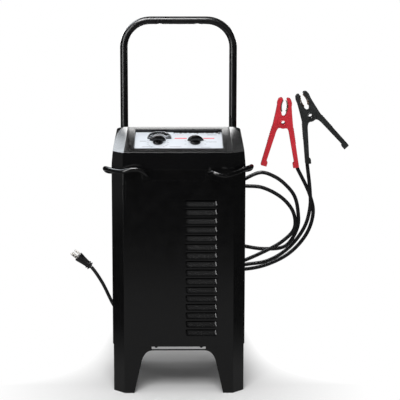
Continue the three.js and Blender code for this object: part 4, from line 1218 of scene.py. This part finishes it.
def cable_end(joint, lean, splay, cable_side):
    """Where a cable meets its lever, just below the end of the handle."""
    u, v = on_handle(splay, CLAMP["handle"] + 1.8, 5)
    turn = Matrix.Rotation(lean, 4, "Y")
    return tuple(pivot_of(joint) + turn @ Vector((cable_side * u, 0, v)))


RED = {
    "joint": "red_clamp_squeeze", "cable_side": 1,
    "lean": math.radians(3.6), "splay": math.radians(12.5),
}
BLACK = {
    "joint": "black_clamp_squeeze", "cable_side": -1,
    "lean": math.radians(-23.6), "splay": math.radians(18.5),
}

# ---------------------------------------------------------------- the object

cabinet_shell()
badge_plate()
leg_frame()
leg_screws()
top_cap()
panel_label()
panel_screw()
ammeter()
knob(TIMER, -1, "timer_knob", "timer_shaft")
knob(SELECTOR, 1, "selector_knob", "selector_shaft")
cord_hook(LEFT_HOOK, "left_cord_hook")
cord_hook(RIGHT_HOOK, "right_cord_hook")
handle_tube()
for wheel_side in (-1, 1):
    wheel(wheel_side)
for grip_node in EXITS:
    cable_grip(grip_node)
cable("power_cord", "power_cord_grip", POWER_CORD)
cable("dc_cable_positive", "dc_cable_grip_positive", [*POSITIVE_CABLE, cable_end(**RED)])
cable("dc_cable_negative", "dc_cable_grip_negative", [*NEGATIVE_CABLE, cable_end(**BLACK)])
mains_plug()
clamp("red", finish=CLAMP_RED, **RED)
clamp("black", finish=CLAMP_BLACK, **BLACK)

# Pieces whose CAD shape is right get softened edges: (finish, edge radius, nodes).
SOFTENED = [
    (PAINT, 0.4, ("rear_panel", "bottom_pan", "axle_bracket_left", "axle_bracket_right")),
    (ZINC, 0.4, ("handle_bracket_left", "handle_bracket_right", "transformer_strap", "axle",
                 "axle_cap_left", "axle_cap_right", "rectifier_diode_left", "rectifier_diode_right")),
    (CORE, 0.5, ("transformer_core",)),
    (COPPER, 2.5, ("transformer_winding",)),
    (ALUMINIUM, 0.3, ("rectifier_heatsink",)),
    (DARK, 0.5, ("timer_unit", "selector_switch", "thermal_breaker", "fan_frame", "fan_rotor")),
]
for look, edge_radius, node_names in SOFTENED:
    for node_name in node_names:
        piece(soften(from_cad(node_name), edge_radius), look, node_name)

# ---------------------------------------------------------------- studio

scene = bpy.context.scene
scene.view_settings.view_transform = "Standard"


def aimed(made, place, target):
    made.location = TO_FRAME @ Vector(place)
    direction = TO_FRAME @ Vector(target) - made.location
    made.rotation_euler = direction.to_track_quat("-Z", "Y").to_euler()
    scene.collection.objects.link(made)
    return made


def soft_light(name, place, target, size, power):
    """A large square light that shapes soft shadows but isn't mirrored in the gloss."""
    data = bpy.data.lights.new(name, "AREA")
    data.size = size
    data.energy = power
    made = aimed(bpy.data.objects.new(name, data), place, target)
    made.visible_glossy = False
    made.visible_camera = False


def reflector(name, place, target, width, height, bright, dim, color=(1, 1, 1)):
    """A glowing card that only shows in reflections, brighter along its upper edge."""
    mesh = bpy.data.meshes.new(name)
    w, h = width / 2000, height / 2000
    mesh.from_pydata([(-w, -h, 0), (w, -h, 0), (w, h, 0), (-w, h, 0)], [], [(0, 1, 2, 3)])
    made = aimed(bpy.data.objects.new(name, mesh), place, target)
    for ray in ("camera", "diffuse", "shadow", "transmission", "volume_scatter"):
        setattr(made, "visible_" + ray, False)
    material = bpy.data.materials.new(name)
    material.use_nodes = True
    nodes, links = material.node_tree.nodes, material.node_tree.links
    nodes.clear()
    place_node = nodes.new("ShaderNodeTexCoord")
    split = nodes.new("ShaderNodeSeparateXYZ")
    strength = nodes.new("ShaderNodeMapRange")
    glow = nodes.new("ShaderNodeEmission")
    output = nodes.new("ShaderNodeOutputMaterial")
    for socket, value in zip(list(strength.inputs)[1:], (-h, h, dim, bright)):
        socket.default_value = value
    glow.inputs["Color"].default_value = (*color, 1)
    links.new(place_node.outputs["Object"], split.inputs[0])
    links.new(split.outputs["Y"], strength.inputs[0])
    links.new(strength.outputs[0], glow.inputs["Strength"])
    links.new(glow.outputs[0], output.inputs["Surface"])
    mesh.materials.append(material)


def floor():
    """A pale floor, lit white beyond the soft shadow under the object and beside its feet. In
    reflections it is lit only in front of the object and falls off into the dark. Lengths are metres."""
    size = 30
    shadow_half_width, shadow_reach = 0.14, 0.4
    fade_start, fade_end = 0.02, 0.32
    mirrored_far, mirrored_near = -1.65, -1.15
    mirrored_half, mirrored_edge = 0.35, 0.75
    corners = [(-size, -size, 0), (size, -size, 0), (size, size, 0), (-size, size, 0)]
    mesh = bpy.data.meshes.new("floor")
    mesh.from_pydata(corners, [], [(0, 1, 2, 3)])
    made = bpy.data.objects.new("floor", mesh)
    scene.collection.objects.link(made)
    look = Finish("floor_white")
    look.set("Roughness", 0.9)
    look.set("Specular IOR Level", 0)
    look.set("Base Color", look.blend(look.noise(3, 2), (0.89, 0.89, 0.89), (0.91, 0.91, 0.91)))
    centre = TO_FRAME @ Vector((0, 0, 0))
    split = look.node("ShaderNodeSeparateXYZ")
    look.feed(split.inputs[0], look.place)
    aside = look.math("ABSOLUTE", look.math("SUBTRACT", split.outputs["X"], centre.x))
    ahead = look.math("SUBTRACT", split.outputs["Y"], centre.y)
    outside = look.math("MAXIMUM", look.math("SUBTRACT", aside, shadow_half_width), 0)
    behind = look.math("MAXIMUM", look.math("ADD", ahead, 0.07), 0)
    beyond = look.math("MAXIMUM", look.math("SUBTRACT", look.math("ABSOLUTE", ahead), shadow_reach), 0)
    widening = look.math("ADD", look.math("MULTIPLY", behind, 12), 1)
    away = look.math("ADD", look.math("MULTIPLY", outside, widening), beyond)
    white = look.node("ShaderNodeEmission")
    fade = look.spread(away, 0, 1, fade_start, fade_end)
    shown = look.mixed(fade, look.surface.outputs[0], white.outputs[0])
    in_front = look.spread(ahead, 0, 1, mirrored_far, mirrored_near)
    beside = look.spread(aside, 1, 0, mirrored_half, mirrored_edge)
    glow = look.node("ShaderNodeEmission")
    lit = look.spread(look.math("MULTIPLY", in_front, beside), 0.012, 0.3, 0, 1)
    look.feed(glow.inputs["Strength"], lit)
    ray = look.node("ShaderNodeLightPath")
    mirrored = look.mixed(ray.outputs["Is Glossy Ray"], shown, glow.outputs[0])
    look.links.new(mirrored, look.nodes["Material Output"].inputs["Surface"])
    mesh.materials.append(look.material)


def backdrop():
    """White to the camera, a soft fill to the surfaces, and nearly dark in reflections."""
    world = bpy.data.worlds.new("studio")
    scene.world = world
    world.use_nodes = True
    nodes, links = world.node_tree.nodes, world.node_tree.links
    nodes.clear()
    ray = nodes.new("ShaderNodeLightPath")
    shades = {"white": 1.0, "fill": 0.4, "dark": 0.03}
    made = {}
    for name, strength in shades.items():
        made[name] = nodes.new("ShaderNodeBackground")
        made[name].inputs["Strength"].default_value = strength
    glossy = nodes.new("ShaderNodeMixShader")
    links.new(ray.outputs["Is Glossy Ray"], glossy.inputs[0])
    links.new(made["fill"].outputs[0], glossy.inputs[1])
    links.new(made["dark"].outputs[0], glossy.inputs[2])
    seen = nodes.new("ShaderNodeMixShader")
    links.new(ray.outputs["Is Camera Ray"], seen.inputs[0])
    links.new(glossy.outputs[0], seen.inputs[1])
    links.new(made["white"].outputs[0], seen.inputs[2])
    output = nodes.new("ShaderNodeOutputWorld")
    links.new(seen.outputs[0], output.inputs["Surface"])


def camera():
    """A long lens from the front, a little above, looking slightly down."""
    data = bpy.data.cameras.new("camera")
    data.lens = 161
    data.sensor_width = 36
    data.clip_end = 100
    made = bpy.data.objects.new("camera", data)
    made.location = TO_FRAME @ Vector((0, -4335, 1373))
    pitch, turn, roll = [math.radians(angle) for angle in (78, -0.7, 0.1)]
    made.rotation_euler = (
        Matrix.Rotation(turn, 3, "Z") @ Matrix.Rotation(pitch, 3, "X") @ Matrix.Rotation(roll, 3, "Z")
    ).to_euler()
    scene.collection.objects.link(made)
    scene.camera = made


floor()
backdrop()
camera()
soft_light("overhead", (0, -200, 2600), (0, 0, 300), 2.2, 17)
soft_light("key", (-250, -2100, 2500), (0, 0, 300), 1.3, 55)
reflector("left_silver", (-760, 620, 1500), (-146, -60, 610), 620, 620, 9, 6, (0.9, 0.95, 1.0))
reflector("rear_edge", (0, 215, 850), (0, 15, 620), 480, 110, 10, 10)
reflector("rear_dark", (60, 560, 1300), (0, -80, 615), 620, 420, 0.12, 0.12)
reflector("right_grey", (760, 620, 1500), (146, -60, 610), 520, 520, 1.2, 0.6)
reflector("upper_front", (100, -1500, 1500), (0, -130, 350), 1600, 700, 0.35, 0.35)
reflector("left_wall", (-1300, -121, 455), (-148, -121, 455), 900, 500, 0.17, 0.17)
reflector("left_flash", (-950, -1100, 850), (60, -130, 350), 420, 1300, 9, 9)
reflector("right_flash", (950, -900, 1000), (40, -130, 400), 200, 500, 0.9, 0.9)
reflector("top_glow", (-400, -700, 2300), (-100, -140, 550), 1300, 800, 22, 22)
